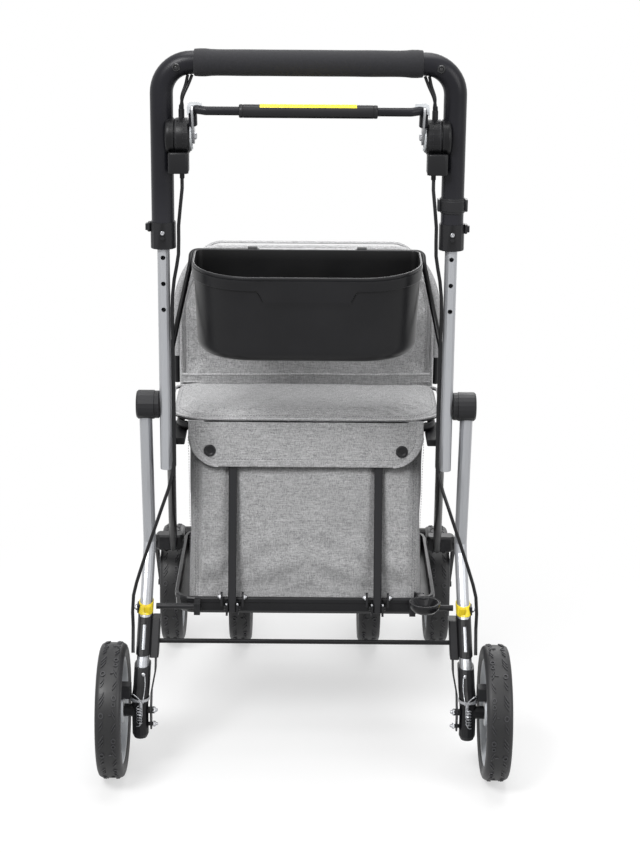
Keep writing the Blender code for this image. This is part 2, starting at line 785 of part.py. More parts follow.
def make_forks():
    """Fork blades and crowns of the outer front wheels, and the inner wheels' yokes."""
    near, far = CROWN_Y - 0.014, CROWN_Y + 0.012
    low, high = CROWN_Z - 0.012, CROWN_Z + 0.014
    inner = TREAD_HALF + BLADE_CLEAR

    yoke_half = inner + BLADE_T

    def crown(bm, side):
        x0 = side * FRONT_TRACK - inner - BLADE_T / 2
        x1 = side * FRONT_TRACK + inner + BLADE_T / 2
        block(bm, x0, x1, near, far, low, high, 0.003)

    def blades(bm, side):
        for offset in (-inner - BLADE_T, inner):
            a = side * FRONT_TRACK + offset
            ends = ((CROWN_Y, CROWN_Z, 0.012), (FRONT_Y, AXLE_Z, 0.011))
            link(bm, a, a + BLADE_T, ends)

    def axle(track):
        def draw(bm, side=1):
            middle, end = side * track, yoke_half + 0.003
            ends = ((middle - end, AXLE_R), (middle + end, AXLE_R))
            turn_x(bm, ends, FRONT_Y, AXLE_Z, 1, 12)

        return draw

    at = (FRONT_TRACK, FRONT_Y, AXLE_Z)
    pair("front_fork", crown, black, frame, at, [blades, axle(FRONT_TRACK)])

    tube_half = FRONT_TRACK - yoke_half - GAP

    def bar(bm):
        turn_x(bm, ((-tube_half, CROSS_TUBE_R), (tube_half, CROSS_TUBE_R)), CROWN_Y, CROSS_TUBE_Z)

    def arms(bm):
        for track in (-INNER_TRACK, INNER_TRACK):
            for offset in (-inner - BLADE_T, inner):
                a = track + offset
                ends = ((CROWN_Y, CROSS_TUBE_Z, 0.013), (FRONT_Y, AXLE_Z, 0.011))
                link(bm, a, a + BLADE_T, ends)

    def inner_axles(bm):
        for side in (-1, 1):
            axle(INNER_TRACK)(bm, side)

    made = solid("cross_tube", bar, coat, frame, (0, CROWN_Y, CROSS_TUBE_Z))
    for draw in (arms, inner_axles):
        combine(made, draw, "UNION")


def tyre_profile():
    """Half a tyre's outer line from the bead to the tread, then the other half."""
    half, inner = TREAD_HALF, RIM_R + GAP
    side = [(half - 0.003, inner), (half, WHEEL_R - 0.009)]
    side += [(half - 0.0035, WHEEL_R - 0.0022), (half - 0.0105, WHEEL_R)]
    return [(-x, r) for x, r in side] + [(x, r) for x, r in reversed(side)]


def rim_profile():
    """The dished rim: a barrel, a web, the brake drum facing the frame and the hub."""
    half = RIM_W / 2
    bore = AXLE_R + GAP
    barrel_in = RIM_R - 0.005
    drum_end, hub_end = -half, half
    web_in, web_out = -0.004, 0.001
    return [
        (-half, RIM_R),
        (half, RIM_R),
        (web_out + 0.003, barrel_in),
        (web_out, HUB_R + 0.004),
        (hub_end, HUB_R),
        (hub_end, bore),
        (drum_end, bore),
        (drum_end, DRUM_R),
        (web_in, DRUM_R),
        (web_in, barrel_in),
    ]


def make_wheels():
    """Four outer wheels of tyre and rim, and two inner wheels in one piece."""
    places = [("rear", REAR_TRACK, REAR_Y, rear_frame), ("front", FRONT_TRACK, FRONT_Y, frame)]
    for end_name, track, axle_y, carrier in places:
        for side_name, side in SIDES.items():
            name = end_name + "_wheel_" + side_name
            at = (side * track, axle_y, AXLE_Z)
            hub = body("spin_" + name, at, carrier)

            def tyre(bm):
                turned = [(track + x, r) for x, r in tyre_profile()]
                turn_x(bm, turned, axle_y, AXLE_Z, side, 24, closed=True)

            def rim(bm):
                turned = [(track + x, r) for x, r in rim_profile()]
                turn_x(bm, turned, axle_y, AXLE_Z, side, 24, closed=True)

            solid(name + "_tyre", tyre, rubber, hub, at)
            solid(name + "_rim", rim, grey, hub, at)

    for side_name, side in SIDES.items():
        at = (side * INNER_TRACK, FRONT_Y, AXLE_Z)
        hub = body("spin_inner_wheel_" + side_name, at, frame)

        def wheel(bm):
            turned = [(INNER_TRACK + x, r) for x, r in tyre_profile()]
            half, bore = TREAD_HALF - 0.003, AXLE_R + GAP
            disc = [(0.006, RIM_R - 0.006), (half, HUB_R), (half, bore)]
            turned += [(INNER_TRACK + x, r) for x, r in disc]
            turned += [(INNER_TRACK - x, r) for x, r in reversed(disc)]
            turn_x(bm, turned, FRONT_Y, AXLE_Z, side, 24, closed=True)

        solid("inner_wheel_" + side_name, wheel, rubber, hub, at)


def make_tray():
    """The open base tray, its hinge straps, lock rods, and the struts up to the seat."""
    half, wall, corner = TRAY_HALF, TRAY_WALL, TRAY_CORNER

    def draw(bm):
        steps = 4
        levels = [
            (TRAY_LOW + wall, wall),
            (TRAY_TOP, wall),
            (TRAY_TOP, 0.0),
            (TRAY_TOP - 0.002, -0.0015),
            (TRAY_TOP - 0.007, -0.0015),
            (TRAY_TOP - 0.008, 0.0),
            (TRAY_LOW + 0.005, 0.0),
            (TRAY_LOW, 0.004),
        ]
        rings = [
            plan_ring(-half, half, TRAY_NEAR, TRAY_FAR, z, corner, corner, inset, steps)
            for z, inset in levels
        ]
        skin(bm, rings)

    rod_out = LATCH_IN - 0.0035
    arm_x = TRAY_HALF - TRAY_CORNER

    def lock_arms(bm):
        for side in (-1, 1):
            near, far = LATCH_Y - LOCK_ROD_R, TRAY_NEAR + 0.002
            x0, x1 = side * (arm_x - 0.009), side * arm_x
            box(bm, x0, x1, near, far, TRAY_LOW + 0.008, LATCH_Z + LOCK_ROD_R)

    def lock_rods(bm):
        for side in (-1, 1):
            rod = ((arm_x - 0.003, LOCK_ROD_R), (rod_out, LOCK_ROD_R))
            turn_x(bm, rod, LATCH_Y, LATCH_Z, side, 14)

    def straps(bm):
        for side in (-1, 1):
            y0, y1 = TRAY_FAR - 0.040, CROWN_Y + 0.004
            x0, x1 = side * (TRAY_HALF - 0.044), side * (TRAY_HALF - 0.024)
            box(bm, x0, x1, y0, y1, TRAY_LOW - 0.0045, CROSS_TUBE_Z - CROSS_TUBE_R - GAP)

    def pedal_ears(bm):
        for x in (PEDAL_X - 0.0135, PEDAL_X - 0.0015):
            y0, y1 = TRAY_NEAR - 0.0012, TRAY_NEAR + 0.0036
            box(bm, x, x + 0.003, y0, y1, TRAY_TOP - 0.006, PEDAL_Z + 0.004)

    ear_in = STRUT_W / 2 + GAP

    def strut_ears(bm):
        for side in (-1, 1):
            for offset in (-ear_in - EAR_T, ear_in):
                x, y0 = side * STRUT_X + offset, STRUT_FOOT_Y - 0.0075
                z0, z1 = STRUT_FOOT_Z - 0.010, STRUT_FOOT_Z + 0.009
                box(bm, x, x + EAR_T, y0, TRAY_NEAR + 0.001, z0, z1)

    def strut_pins(bm):
        end = ear_in + EAR_T
        for side in (-1, 1):
            x, reach = side * STRUT_X, end + 0.003
            ends = ((x - reach, BOLT_R), (x + reach, BOLT_R))
            turn_x(bm, ends, STRUT_FOOT_Y, STRUT_FOOT_Z, 1, 10)

    made = solid("base_tray", draw, satin, frame)
    for shape in (lock_arms, lock_rods, straps, pedal_ears, strut_ears, strut_pins):
        combine(made, shape, "UNION", "MANIFOLD")

    def strut(bm, side):
        lean = Vector((0, STRUT_TOP_Y - STRUT_FOOT_Y, STRUT_TOP_Z - STRUT_FOOT_Z))
        lean.normalize()
        normal = X_AXIS.cross(lean)
        start = Vector((side * STRUT_X, STRUT_FOOT_Y, STRUT_FOOT_Z)) - lean * 0.006
        end = Vector((side * STRUT_X, STRUT_TOP_Y, STRUT_TOP_Z))
        corners = ((1, 0.7), (0.7, 1), (-0.7, 1), (-1, 0.7))
        corners += ((-1, -0.7), (-0.7, -1), (0.7, -1), (1, -0.7))
        rings = []
        for spot in (start, end):
            half_w, half_t = X_AXIS * STRUT_W / 2, normal * STRUT_T / 2
            rings.append([spot + half_w * a + half_t * b for a, b in corners])
        skin(bm, rings)

    def pin_hole(bm, side):
        x, reach = side * STRUT_X, STRUT_W / 2 + 0.001
        ends = ((x - reach, BOLT_R + GAP), (x + reach, BOLT_R + GAP))
        turn_x(bm, ends, STRUT_FOOT_Y, STRUT_FOOT_Z, 1, 12)

    at = (STRUT_X, STRUT_FOOT_Y, STRUT_FOOT_Z)
    pair("seat_strut", strut, coat, frame, at, cuts=[pin_hole])


def make_seat():
    """The seat tube, the padded lid that opens the bag, and the flap with its snaps."""
    half = SEAT_TUBE_HALF
    far = SEAT_FAR - 0.006
    ring = plan_ring(-half, half, SEAT_TUBE_NEAR, far, SEAT_TUBE_Z, 0.035, 0.020, 0, 4)
    tube("seat_tube", ring, SEAT_TUBE_R, coat, frame, loop=True)


def make_lid():
    at = (0, SEAT_FAR, SEAT_LOW + SEAT_T)
    half, corner = SEAT_HALF, SEAT_CORNER
    steps = 5

    def draw(bm):
        top = SEAT_LOW + SEAT_T
        levels = [
            (SEAT_LOW, 0.006),
            (SEAT_LOW + 0.003, 0.0),
            (SEAT_LOW + 0.009, 0.0005),
            (top - 0.005, 0.006),
            (top - 0.0015, 0.018),
            (top, 0.045),
        ]
        skin(
            bm,
            [
                plan_ring(-half, half, SEAT_NEAR, SEAT_FAR, z, corner, 0.016, inset, steps)
                for z, inset in levels
            ],
        )

    solid("seat_lid", draw, cloth, seat, at)

    def flap(bm):
        rings = []
        for face in (0, 1):
            outline = []
            for cx, cz, start in (
                (FLAP_HALF - FLAP_CORNER, FLAP_LOW + FLAP_CORNER, -math.pi / 2),
                (-FLAP_HALF + FLAP_CORNER, FLAP_LOW + FLAP_CORNER, math.pi),
            ):
                arc = []
                for i in range(7):
                    turn = start + math.pi / 2 * i / 6
                    arc.append((cx + FLAP_CORNER * math.cos(turn), cz + FLAP_CORNER * math.sin(turn)))
                outline.append(arc)
            flat = outline[1] + outline[0]
            flat = flat + [(FLAP_HALF, FLAP_TOP), (-FLAP_HALF, FLAP_TOP)]
            rings.append([Vector((x, flap_y(z) - face * FLAP_T, z)) for x, z in flat])
        skin(bm, rings)

    def snaps(bm):
        near = flap_y(SNAP_Z) - FLAP_T - 0.0005
        for side in (-1, 1):
            head = [(near + 0.002, SNAP_R), (near - 0.002, SNAP_R), (near - 0.0032, SNAP_R - 0.002)]
            turn_y(bm, head, side * SNAP_X, SNAP_Z, 18)

    made = solid("seat_flap", flap, cloth, seat, at)
    combine(made, snaps, "UNION")


def make_bag():
    """The open bag that stands in the tray, and its upper part behind the seat."""
    floor_z = TRAY_LOW + TRAY_WALL + GAP

    def ring(z, inset):
        along = (z - floor_z) / (BAG_TOP - floor_z)
        near = BAG_FOOT_Y + along * (BAG_NEAR_TOP - BAG_FOOT_Y)
        return plan_ring(-BAG_HALF, BAG_HALF, near, BAG_FAR, z, 0.022, 0.022, inset, 3)

    def draw(bm):
        levels = [(floor_z, 0.004), (floor_z + 0.004, 0.0), (BAG_TOP, 0.0)]
        levels += [(BAG_TOP, BAG_WALL), (floor_z + BAG_WALL, BAG_WALL)]
        skin(bm, [ring(z, inset) for z, inset in levels])

    solid("bag_lower", draw, cloth, frame)

    def upper(bm):
        rings = []
        edge = 0.014
        for y, inset in (
            (BACK_NEAR, edge),
            (BACK_NEAR + 0.004, 0.004),
            (BACK_NEAR + edge, 0.0),
            (BACK_FAR - edge, 0.0),
            (BACK_FAR - 0.004, 0.004),
            (BACK_FAR, edge),
        ):
            rings.append(back_ring(y, inset))
        skin(bm, rings)

    solid("bag_upper", upper, cloth, frame)

    tube_x = BACK_HALF + HOOP_R + 2 * GAP
    y, top, low = BACK_NEAR + 0.022, BACK_TOP + HOOP_R + 2 * GAP, BACK_LOW + 0.020
    route = [(-tube_x, y, low), (-tube_x, y, top), (tube_x, y, top), (tube_x, y, low)]
    tube("back_hoop", bent(route, BACK_CORNER + HOOP_R, 6), HOOP_R, coat, frame, sides=1)


def back_ring(y, inset):
    """An upright arch outline of the bag's upper part, drawn in by the inset."""
    half = BACK_HALF - inset
    low, high = BACK_LOW + inset, BACK_TOP - inset
    radius, foot = BACK_CORNER - inset, 0.014
    corners = (
        (half - radius, high - radius, radius, 0),
        (-half + radius, high - radius, radius, 1),
        (-half + foot, low + foot, foot, 2),
        (half - foot, low + foot, foot, 3),
    )
    found = []
    for cx, cz, r, quarter in corners:
        for i in range(7):
            turn = math.pi / 2 * (quarter + i / 6)
            found.append(Vector((cx + r * math.cos(turn), y, cz + r * math.sin(turn))))
    return found


def make_bin():
    """The lift-off bin under the handle, its two hooks and the rail that carries it."""
    wall = BIN_WALL
    height = BIN_TOP - BIN_LOW

    def ring(z, inset):
        down = (BIN_TOP - z) / height
        draw_in = inset + BIN_TAPER * down
        return plan_ring(
            -BIN_HALF, BIN_HALF, BIN_NEAR, BIN_FAR, z, BIN_CORNER, 0.030, draw_in, 4
        )

    def draw(bm):
        rim = 0.004
        levels = [
            (BIN_LOW + wall, wall + 0.016),
            (BIN_LOW + wall + 0.005, wall + 0.006),
            (BIN_LOW + wall + 0.016, wall),
            (BIN_TOP, wall),
            (BIN_TOP, 0.0),
            (BIN_TOP - rim, 0.0),
            (BIN_TOP - rim, 0.0015),
            (BIN_LOW + 0.016, 0.0015),
            (BIN_LOW + 0.005, 0.006),
            (BIN_LOW, 0.016),
        ]
        skin(bm, [ring(z, inset) for z, inset in levels])

    def hooks(bm):
        inner = RAIL_R + 0.0008
        outer = inner + HOOK_T
        foot = BIN_TOP - 0.010
        turns = [math.pi * i / 6 for i in range(7)]
        outside = [(outer * math.cos(a), outer * math.sin(a)) for a in turns]
        inside = [(inner * math.cos(a), inner * math.sin(a)) for a in reversed(turns)]
        outline = [(RAIL_BACK_Y + y, RAIL_TOP_Z + z) for y, z in outside]
        outline += [(RAIL_BACK_Y - outer, foot), (RAIL_BACK_Y - inner, foot)]
        outline += [(RAIL_BACK_Y + y, RAIL_TOP_Z + z) for y, z in inside]
        outline += [(RAIL_BACK_Y + r, RAIL_TOP_Z - 0.004) for r in (inner, outer)]
        for side in (-1, 1):
            x0, x1 = side * HOOK_X - HOOK_W / 2, side * HOOK_X + HOOK_W / 2
            skin(bm, [[Vector((x, y, z)) for y, z in outline] for x in (x0, x1)])

    at = (0, BIN_FAR, BIN_TOP)
    made = solid("bin", draw, satin, bin_body, at)
    combine(made, hooks, "UNION")

    x, y, z = RAIL_X, RAIL_Y, JOINT_Z - 0.012
    elbow_z = BIN_LOW - 0.0175
    side_run = [(x, y, z), (x, y, elbow_z), (x, RAIL_BACK_Y - RAIL_REACH, RAIL_TOP_Z - 2 * RAIL_R)]
    corner = (x - RAIL_R, RAIL_BACK_Y + 0.006, RAIL_TOP_Z)
    route = side_run + [corner, (x - RAIL_CORNER, RAIL_BACK_Y, RAIL_TOP_Z)]
    left = [(-a, b, c) for a, b, c in reversed(route)]
    run = bent(route + left, RAIL_BEND_R, 3)
    tube("bin_rail", run, RAIL_R, coat, frame, sides=1)


def make_rear_legs():
    """The folding rear legs with their hinge knobs."""
    knob_low = KNOB_Z - 0.008

    def leg(bm, side):
        levels = [knob_low, LEG_BEND_Z + 0.020, LEG_BEND_Z + 0.006]
        levels += [LEG_BEND_Z - 0.006, LEG_BEND_Z - 0.020, CUP_TOP - 0.020]
        skin(bm, [leg_ring(side, z) for z in levels])

    at = (LEG_X, KNOB_Y, KNOB_Z)
    pair("rear_leg", leg, silver, rear_frame, at)

    def knob(bm, side):
        a, b = KNOB_IN, KNOB_IN + KNOB_W
        profile = [(a + 0.006, 0.0043), (a, 0.0043), (a, KNOB_R), (b - 0.003, KNOB_R)]
        profile += [(b - 0.0006, KNOB_R - 0.0022), (b, KNOB_R - 0.005)]
        turn_x(bm, profile, KNOB_Y, KNOB_Z, side, 20)

    def pocket(bm, side):
        skin(bm, [leg_ring(side, z, GAP) for z in (KNOB_Z - 0.030, knob_low + GAP)])

    pair("hinge_knob", knob, black, rear_frame, at, cuts=[pocket])


def make_rear_fittings():
    """What rides on the lower rear legs: latch collars, guides, knuckles, rod and shoes."""
    latch_low, latch_high = LATCH_Z - LATCH_H / 2, LATCH_Z + LATCH_H / 2
    guide_top = latch_low - GAP
    at = (KNUCKLE_X, REAR_Y, AXLE_Z)

    def latch(bm, side):
        rings = [leg_ring(side, z, GAP) for z in (latch_high, latch_low)]
        rings += [leg_ring(side, z, 0.0022) for z in (latch_low, latch_high)]
        skin(bm, rings, closed=True)

    def latch_bolt(bm, side):
        d = leg_x(LATCH_Z) + LEG_W / 2 + 0.0022
        head = [(d - 0.001, 0.0045), (d + 0.003, 0.0042), (d + 0.003, 0.0025), (d + 0.007, 0.0022)]
        turn_x(bm, head, LATCH_Y, LATCH_Z, side, 12)

    pair("latch_collar", latch, yellow, rear_frame, at, [latch_bolt])

    def knuckle(bm, side):
        x, y, shoulder = side * KNUCKLE_X, REAR_Y, CUP_LOW - 0.003
        rings = [leg_ring(side, CUP_TOP - 0.022, GAP), leg_ring(side, CUP_TOP, GAP)]
        rings += [leg_ring(side, CUP_TOP, 0.0030), leg_ring(side, CUP_LOW + 0.010, 0.0030)]
        rings.append(flat_oval(x, (leg_y(shoulder) + y) / 2, shoulder, 0.0125, 0.0150))
        for drop, r in ((-0.008, KNUCKLE_R), (0.036, KNUCKLE_R), (0.042, KNUCKLE_R - 0.0025)):
            rings.append(oval((x, y, AXLE_Z - drop), X_AXIS, Y_AXIS, r, r, 16))
        skin(bm, rings)

    boss_out = REAR_TRACK - RIM_W / 2 - 0.0008

    def boss(bm, side):
        turn_x(bm, ((KNUCKLE_X, 0.0095), (boss_out, 0.0095)), REAR_Y, AXLE_Z, side, 12)

    def axle(bm, side):
        b = REAR_TRACK + RIM_W / 2 + GAP
        profile = [(KNUCKLE_X, AXLE_R), (b, AXLE_R), (b, AXLE_R + 0.003), (b + 0.003, AXLE_R + 0.002)]
        turn_x(bm, profile, REAR_Y, AXLE_Z, side, 12)

    rod_half = leg_x(CROSS_ROD_Z) - LEG_W / 2 - 0.0135
    plate_out = KNUCKLE_X - KNUCKLE_R - 0.0026
    plate_in = plate_out - 0.0025
    foot_z = AXLE_Z - 0.022
    head_z = CROSS_ROD_Z - 0.004
    head_in = rod_half + 0.0035
    jog_low, jog_high = AXLE_Z + 0.024, AXLE_Z + 0.050

    def bolts(bm, side):
        for z, r in ((AXLE_Z, AXLE_R), (foot_z, BOLT_R)):
            profile = [(plate_in - 0.003, r), (KNUCKLE_X, r)]
            turn_x(bm, profile, REAR_Y, z, side, 10)

    pair("knuckle", knuckle, black, rear_frame, at, [boss, axle, bolts])


    def rod(bm):
        reach = rod_half + 0.002
        ends = ((-reach, CROSS_ROD_R), (reach, CROSS_ROD_R))
        turn_x(bm, ends, CROSS_ROD_Y, CROSS_ROD_Z, 1, 12)

    def guides(bm):
        for side in (-1, 1):
            rings = [leg_ring(side, z, GAP) for z in (guide_top, GUIDE_LOW)]
            rings += [leg_ring(side, z, 0.0018) for z in (GUIDE_LOW, guide_top)]
            skin(bm, rings, closed=True)

    def brackets(bm):
        for side in (-1, 1):
            rings = []
            for z in (GUIDE_LOW - 0.004, guide_top - 0.0037):
                inner = leg_x(z) - LEG_W / 2
                x0, x1 = side * (inner - 0.0135), side * (inner - 0.0004)
                a, b = min(x0, x1), max(x0, x1)
                y0, y1 = leg_y(z) - 0.011, leg_y(z) + 0.011
                rings.append(plan_ring(a, b, y0, y1, z, 0.002, 0.002, 0, 1))
            skin(bm, rings)

    def tails(bm):
        for side in (-1, 1):
            rings = []
            for z, x in ((AXLE_Z, plate_in), (jog_low, plate_in), (jog_high, head_in), (head_z, head_in)):
                y, a, b = leg_y(z), side * x, side * (x + plate_out - plate_in)
                spots = ((a, y - 0.009), (a, y + 0.009), (b, y + 0.009), (b, y - 0.009))
                rings.append([Vector((c, d, z)) for c, d in spots])
            skin(bm, rings)

    def feet(bm):
        for side in (-1, 1):
            x0, x1 = side * plate_in, side * plate_out
            link(bm, x0, x1, ((REAR_Y, foot_z, 0.008), (REAR_Y, AXLE_Z + 0.002, 0.009)))

    def plate_holes(bm):
        for side in (-1, 1):
            for z, r in ((AXLE_Z, AXLE_R + GAP), (foot_z, BOLT_R + GAP)):
                reach = ((plate_in - 0.002, r), (plate_out + 0.001, r))
                turn_x(bm, reach, REAR_Y, z, side, 12)

    def slots(bm):
        for side in (-1, 1):
            rings = []
            for z in (GUIDE_LOW + 0.008, guide_top - 0.008):
                near = leg_y(z) - leg_half_depth(z) - 0.004
                x = side * leg_x(z)
                spots = ((x - 0.0025, near), (x + 0.0025, near))
                spots += ((x + 0.0025, near + 0.008), (x - 0.0025, near + 0.008))
                rings.append([Vector((a, b, z)) for a, b in spots])
            skin(bm, rings)

    made = solid("cross_link", rod, coat, rear_frame, (0, CROSS_ROD_Y, CROSS_ROD_Z))
    for shape in (brackets, guides, tails, feet):
        combine(made, shape, "UNION")
    combine(made, leg_clearance, "DIFFERENCE")
    combine(made, plate_holes, "DIFFERENCE")
    combine(made, slots, "DIFFERENCE")

    shoe_in = KNUCKLE_X + 0.0125
    low = AXLE_Z + DRUM_R + SHOE_GAP
    for side_name, side in SIDES.items():
        at = (side * shoe_in, REAR_Y, low)
        carrier = body("shoe_body_" + side_name, at, rear_frame)

        def shoe(bm):
            x0, x1 = side * shoe_in, side * (REAR_TRACK - 0.010)
            block(bm, x0, x1, REAR_Y - 0.010, REAR_Y + 0.010, low, low + 0.020, 0.001)

        solid("brake_shoe_" + side_name, shoe, black, carrier, at)


def leg_clearance(bm):
    """The space that the rear legs take up, with the clearance round them."""
    for side in (-1, 1):
        skin(bm, [leg_ring(side, z, GAP) for z in (CUP_TOP + GAP, LATCH_Z)])


def make_springs():
    """Coil springs beside the knuckles that pull the brake shoes back."""
    print("spring curls: least gap", round((SPRING_PITCH - 2 * SPRING_WIRE) * 1000, 3), "mm")
    centre_y = REAR_Y - KNUCKLE_R - SPRING_R - SPRING_WIRE - 0.0008
    low = AXLE_Z - 0.014
    for side_name, side in SIDES.items():
        x = side * KNUCKLE_X
        run = [Vector((x, centre_y + SPRING_R, low - 0.003))]
        for i in range(SPRING_TURNS * 8 + 1):
            turn, z = 2 * math.pi * i / 8, low + SPRING_PITCH * i / 8
            across, along = SPRING_R * math.sin(turn), SPRING_R * math.cos(turn)
            run.append(Vector((x + across, centre_y + along, z)))
        top = low + SPRING_PITCH * SPRING_TURNS
        run.append(Vector((x, centre_y + SPRING_R, top + 0.004)))
        name = "brake_spring_" + side_name
        tube(name, run, SPRING_WIRE, steel, rear_frame, (0, REAR_Y, AXLE_Z), 1)


def make_cables():
    """The brake cables from the housings down the columns to the rear legs."""
    lane = COLUMN_IN - CABLE_R - 0.0012
    start_z = PIVOT_Z - BLOCK_DROP - GAP
    x = GRIP_HALF + 0.0030
    under = HANDLE_Z - HANDLE_TUBE_R - CABLE_R - GAP
    for side_name, side in SIDES.items():
        route = [
            (HOUSING_IN + 0.012, PIVOT_Y + 0.001, start_z),
            (HOUSING_IN + 0.012, PIVOT_Y, start_z - 0.020),
            (0.1805, -0.166, COLLAR_TOP - 0.005),
            (0.1810, -0.168, COLLAR_LOW - 0.008),
            (lane, -0.169, COLLAR_LOW - 0.068),
            (lane, -0.169, COLLAR_LOW - 0.168),
            (lane, -0.169, 0.500),
            (lane + 0.002, -0.176, 0.440),
            (0.2080, -0.190, 0.390),
            (0.2320, -0.196, 0.320),
            (TREAD_IN - 0.0095, -0.206, 0.260),
            (TREAD_IN - 0.0090, -0.216, 0.215),
            (TREAD_IN - 0.0095, -0.232, 0.180),
        ]
        run = smooth([(side * a, b, c) for a, b, c in route], 0.022)
        tube("brake_cable_" + side_name, run, CABLE_R, black, handle)
        route = [
            (x + 0.004, COLUMN_Y + 0.002, under),
            (x + 0.005, COLUMN_Y + 0.006, under - 0.012),
            (HOUSING_IN + 0.011, COLUMN_Y + 0.010, under - 0.030),
            (HOUSING_IN + 0.011, PIVOT_Y + 0.001, PIVOT_Z + HOUSING_R + 0.010),
            (HOUSING_IN + 0.011, PIVOT_Y, PIVOT_Z + HOUSING_R + 2 * GAP),
        ]
        run = smooth([(side * a, b, c) for a, b, c in route], 0.011)
        tube("cable_loop_" + side_name, run, CABLE_R, black, handle)


def make_pedal():
    """The foot cup at the tray's right corner, on its short arm."""
    hinge_y, hinge_z = PEDAL_Y, PEDAL_Z
    cup_x, cup_y = PEDAL_X, LATCH_Y - LOCK_ROD_R - 0.026
    cup_r, cup_low = 0.021, LATCH_Z + 0.009
    at = (0, hinge_y, hinge_z)

    def cup(bm):
        profile = [(0.003, 0.010), (0.011, 0.018), (0.0125, 0.0195), (0.0125, cup_r)]
        profile += [(0.010, cup_r + 0.0006), (0.004, 0.018), (0.0, 0.010)]
        rings = []
        for z, r in profile:
            rings.append(oval((cup_x, cup_y, cup_low + z), X_AXIS, Y_AXIS, r, r, 16))
        skin(bm, rings)

    x0, x1 = cup_x - 0.0102, cup_x - 0.0018

    def eye(bm):
        link(bm, x0, x1, ((hinge_y, hinge_z, 0.0035), (hinge_y - 0.006, hinge_z, 0.0035)))

    def arm(bm):
        y0 = cup_y + 0.012
        z0, z1 = LATCH_Z + LOCK_ROD_R + 0.0055, LATCH_Z + LOCK_ROD_R + 0.0105
        block(bm, x0 + 0.0004, x1 - 0.0004, y0, hinge_y - 0.002, z0, z1, 0.001)

    made = solid("fold_pedal", cup, black, pedal, at)
    combine(made, arm, "UNION")
    combine(made, eye, "UNION")


make_columns()
make_handle()
make_collars()
make_brake_lever()
make_front_legs()
make_forks()
make_wheels()
make_tray()
make_seat()
make_lid()
make_bag()
make_bin()
make_rear_legs()
make_rear_fittings()
make_springs()
make_cables()
make_pedal()
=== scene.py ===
"""The dressed look of the shopping rollator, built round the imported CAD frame.
Metres, in the CAD frame: +X to the user's right, +Y away from the user, +Z up."""

import json
import math

import bmesh
import bpy
from mathutils import Euler, Matrix, Vector, noise
from mathutils.bvhtree import BVHTree


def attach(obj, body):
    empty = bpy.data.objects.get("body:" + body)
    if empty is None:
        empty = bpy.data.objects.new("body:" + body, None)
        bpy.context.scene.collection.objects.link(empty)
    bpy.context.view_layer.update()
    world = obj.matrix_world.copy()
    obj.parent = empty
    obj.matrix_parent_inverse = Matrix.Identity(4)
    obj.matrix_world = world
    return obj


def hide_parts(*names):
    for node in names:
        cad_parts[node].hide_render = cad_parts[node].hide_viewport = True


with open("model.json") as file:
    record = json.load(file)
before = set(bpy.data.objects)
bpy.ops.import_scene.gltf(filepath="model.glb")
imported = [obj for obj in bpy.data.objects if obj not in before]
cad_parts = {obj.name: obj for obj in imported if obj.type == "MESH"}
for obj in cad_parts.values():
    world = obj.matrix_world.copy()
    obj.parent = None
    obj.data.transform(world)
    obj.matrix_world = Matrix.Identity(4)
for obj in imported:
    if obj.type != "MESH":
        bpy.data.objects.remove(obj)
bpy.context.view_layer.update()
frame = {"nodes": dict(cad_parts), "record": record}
TAU = 2 * math.pi
SIDES = (("left", -1), ("right", 1))


# Camera
def make_camera():
    """The photograph's camera: focal length, tilt and roll as fitted to it."""
    picture_height, right_shift = 853, 14
    down, roll = math.radians(17), math.radians(0.42)
    data = bpy.data.cameras.new("camera")
    data.lens = 84.4
    data.sensor_width = 36
    data.shift_x = right_shift / picture_height
    data.clip_end = 100
    made = bpy.data.objects.new("camera", data)
    bpy.context.scene.collection.objects.link(made)
    turn = Euler((math.pi / 2 - down, 0, 0)).to_matrix().to_4x4()
    spot = Matrix.Translation((0, -2.926, 1.351))
    made.matrix_world = spot @ turn @ Matrix.Rotation(roll, 4, "Z")
    bpy.context.scene.camera = made


make_camera()


# Materials
def srgb(*values):
    found = []
    for value in values:
        value /= 255
        found.append(value / 12.92 if value < 0.04045 else ((value + 0.055) / 1.055) ** 2.4)
    return (*found, 1.0)


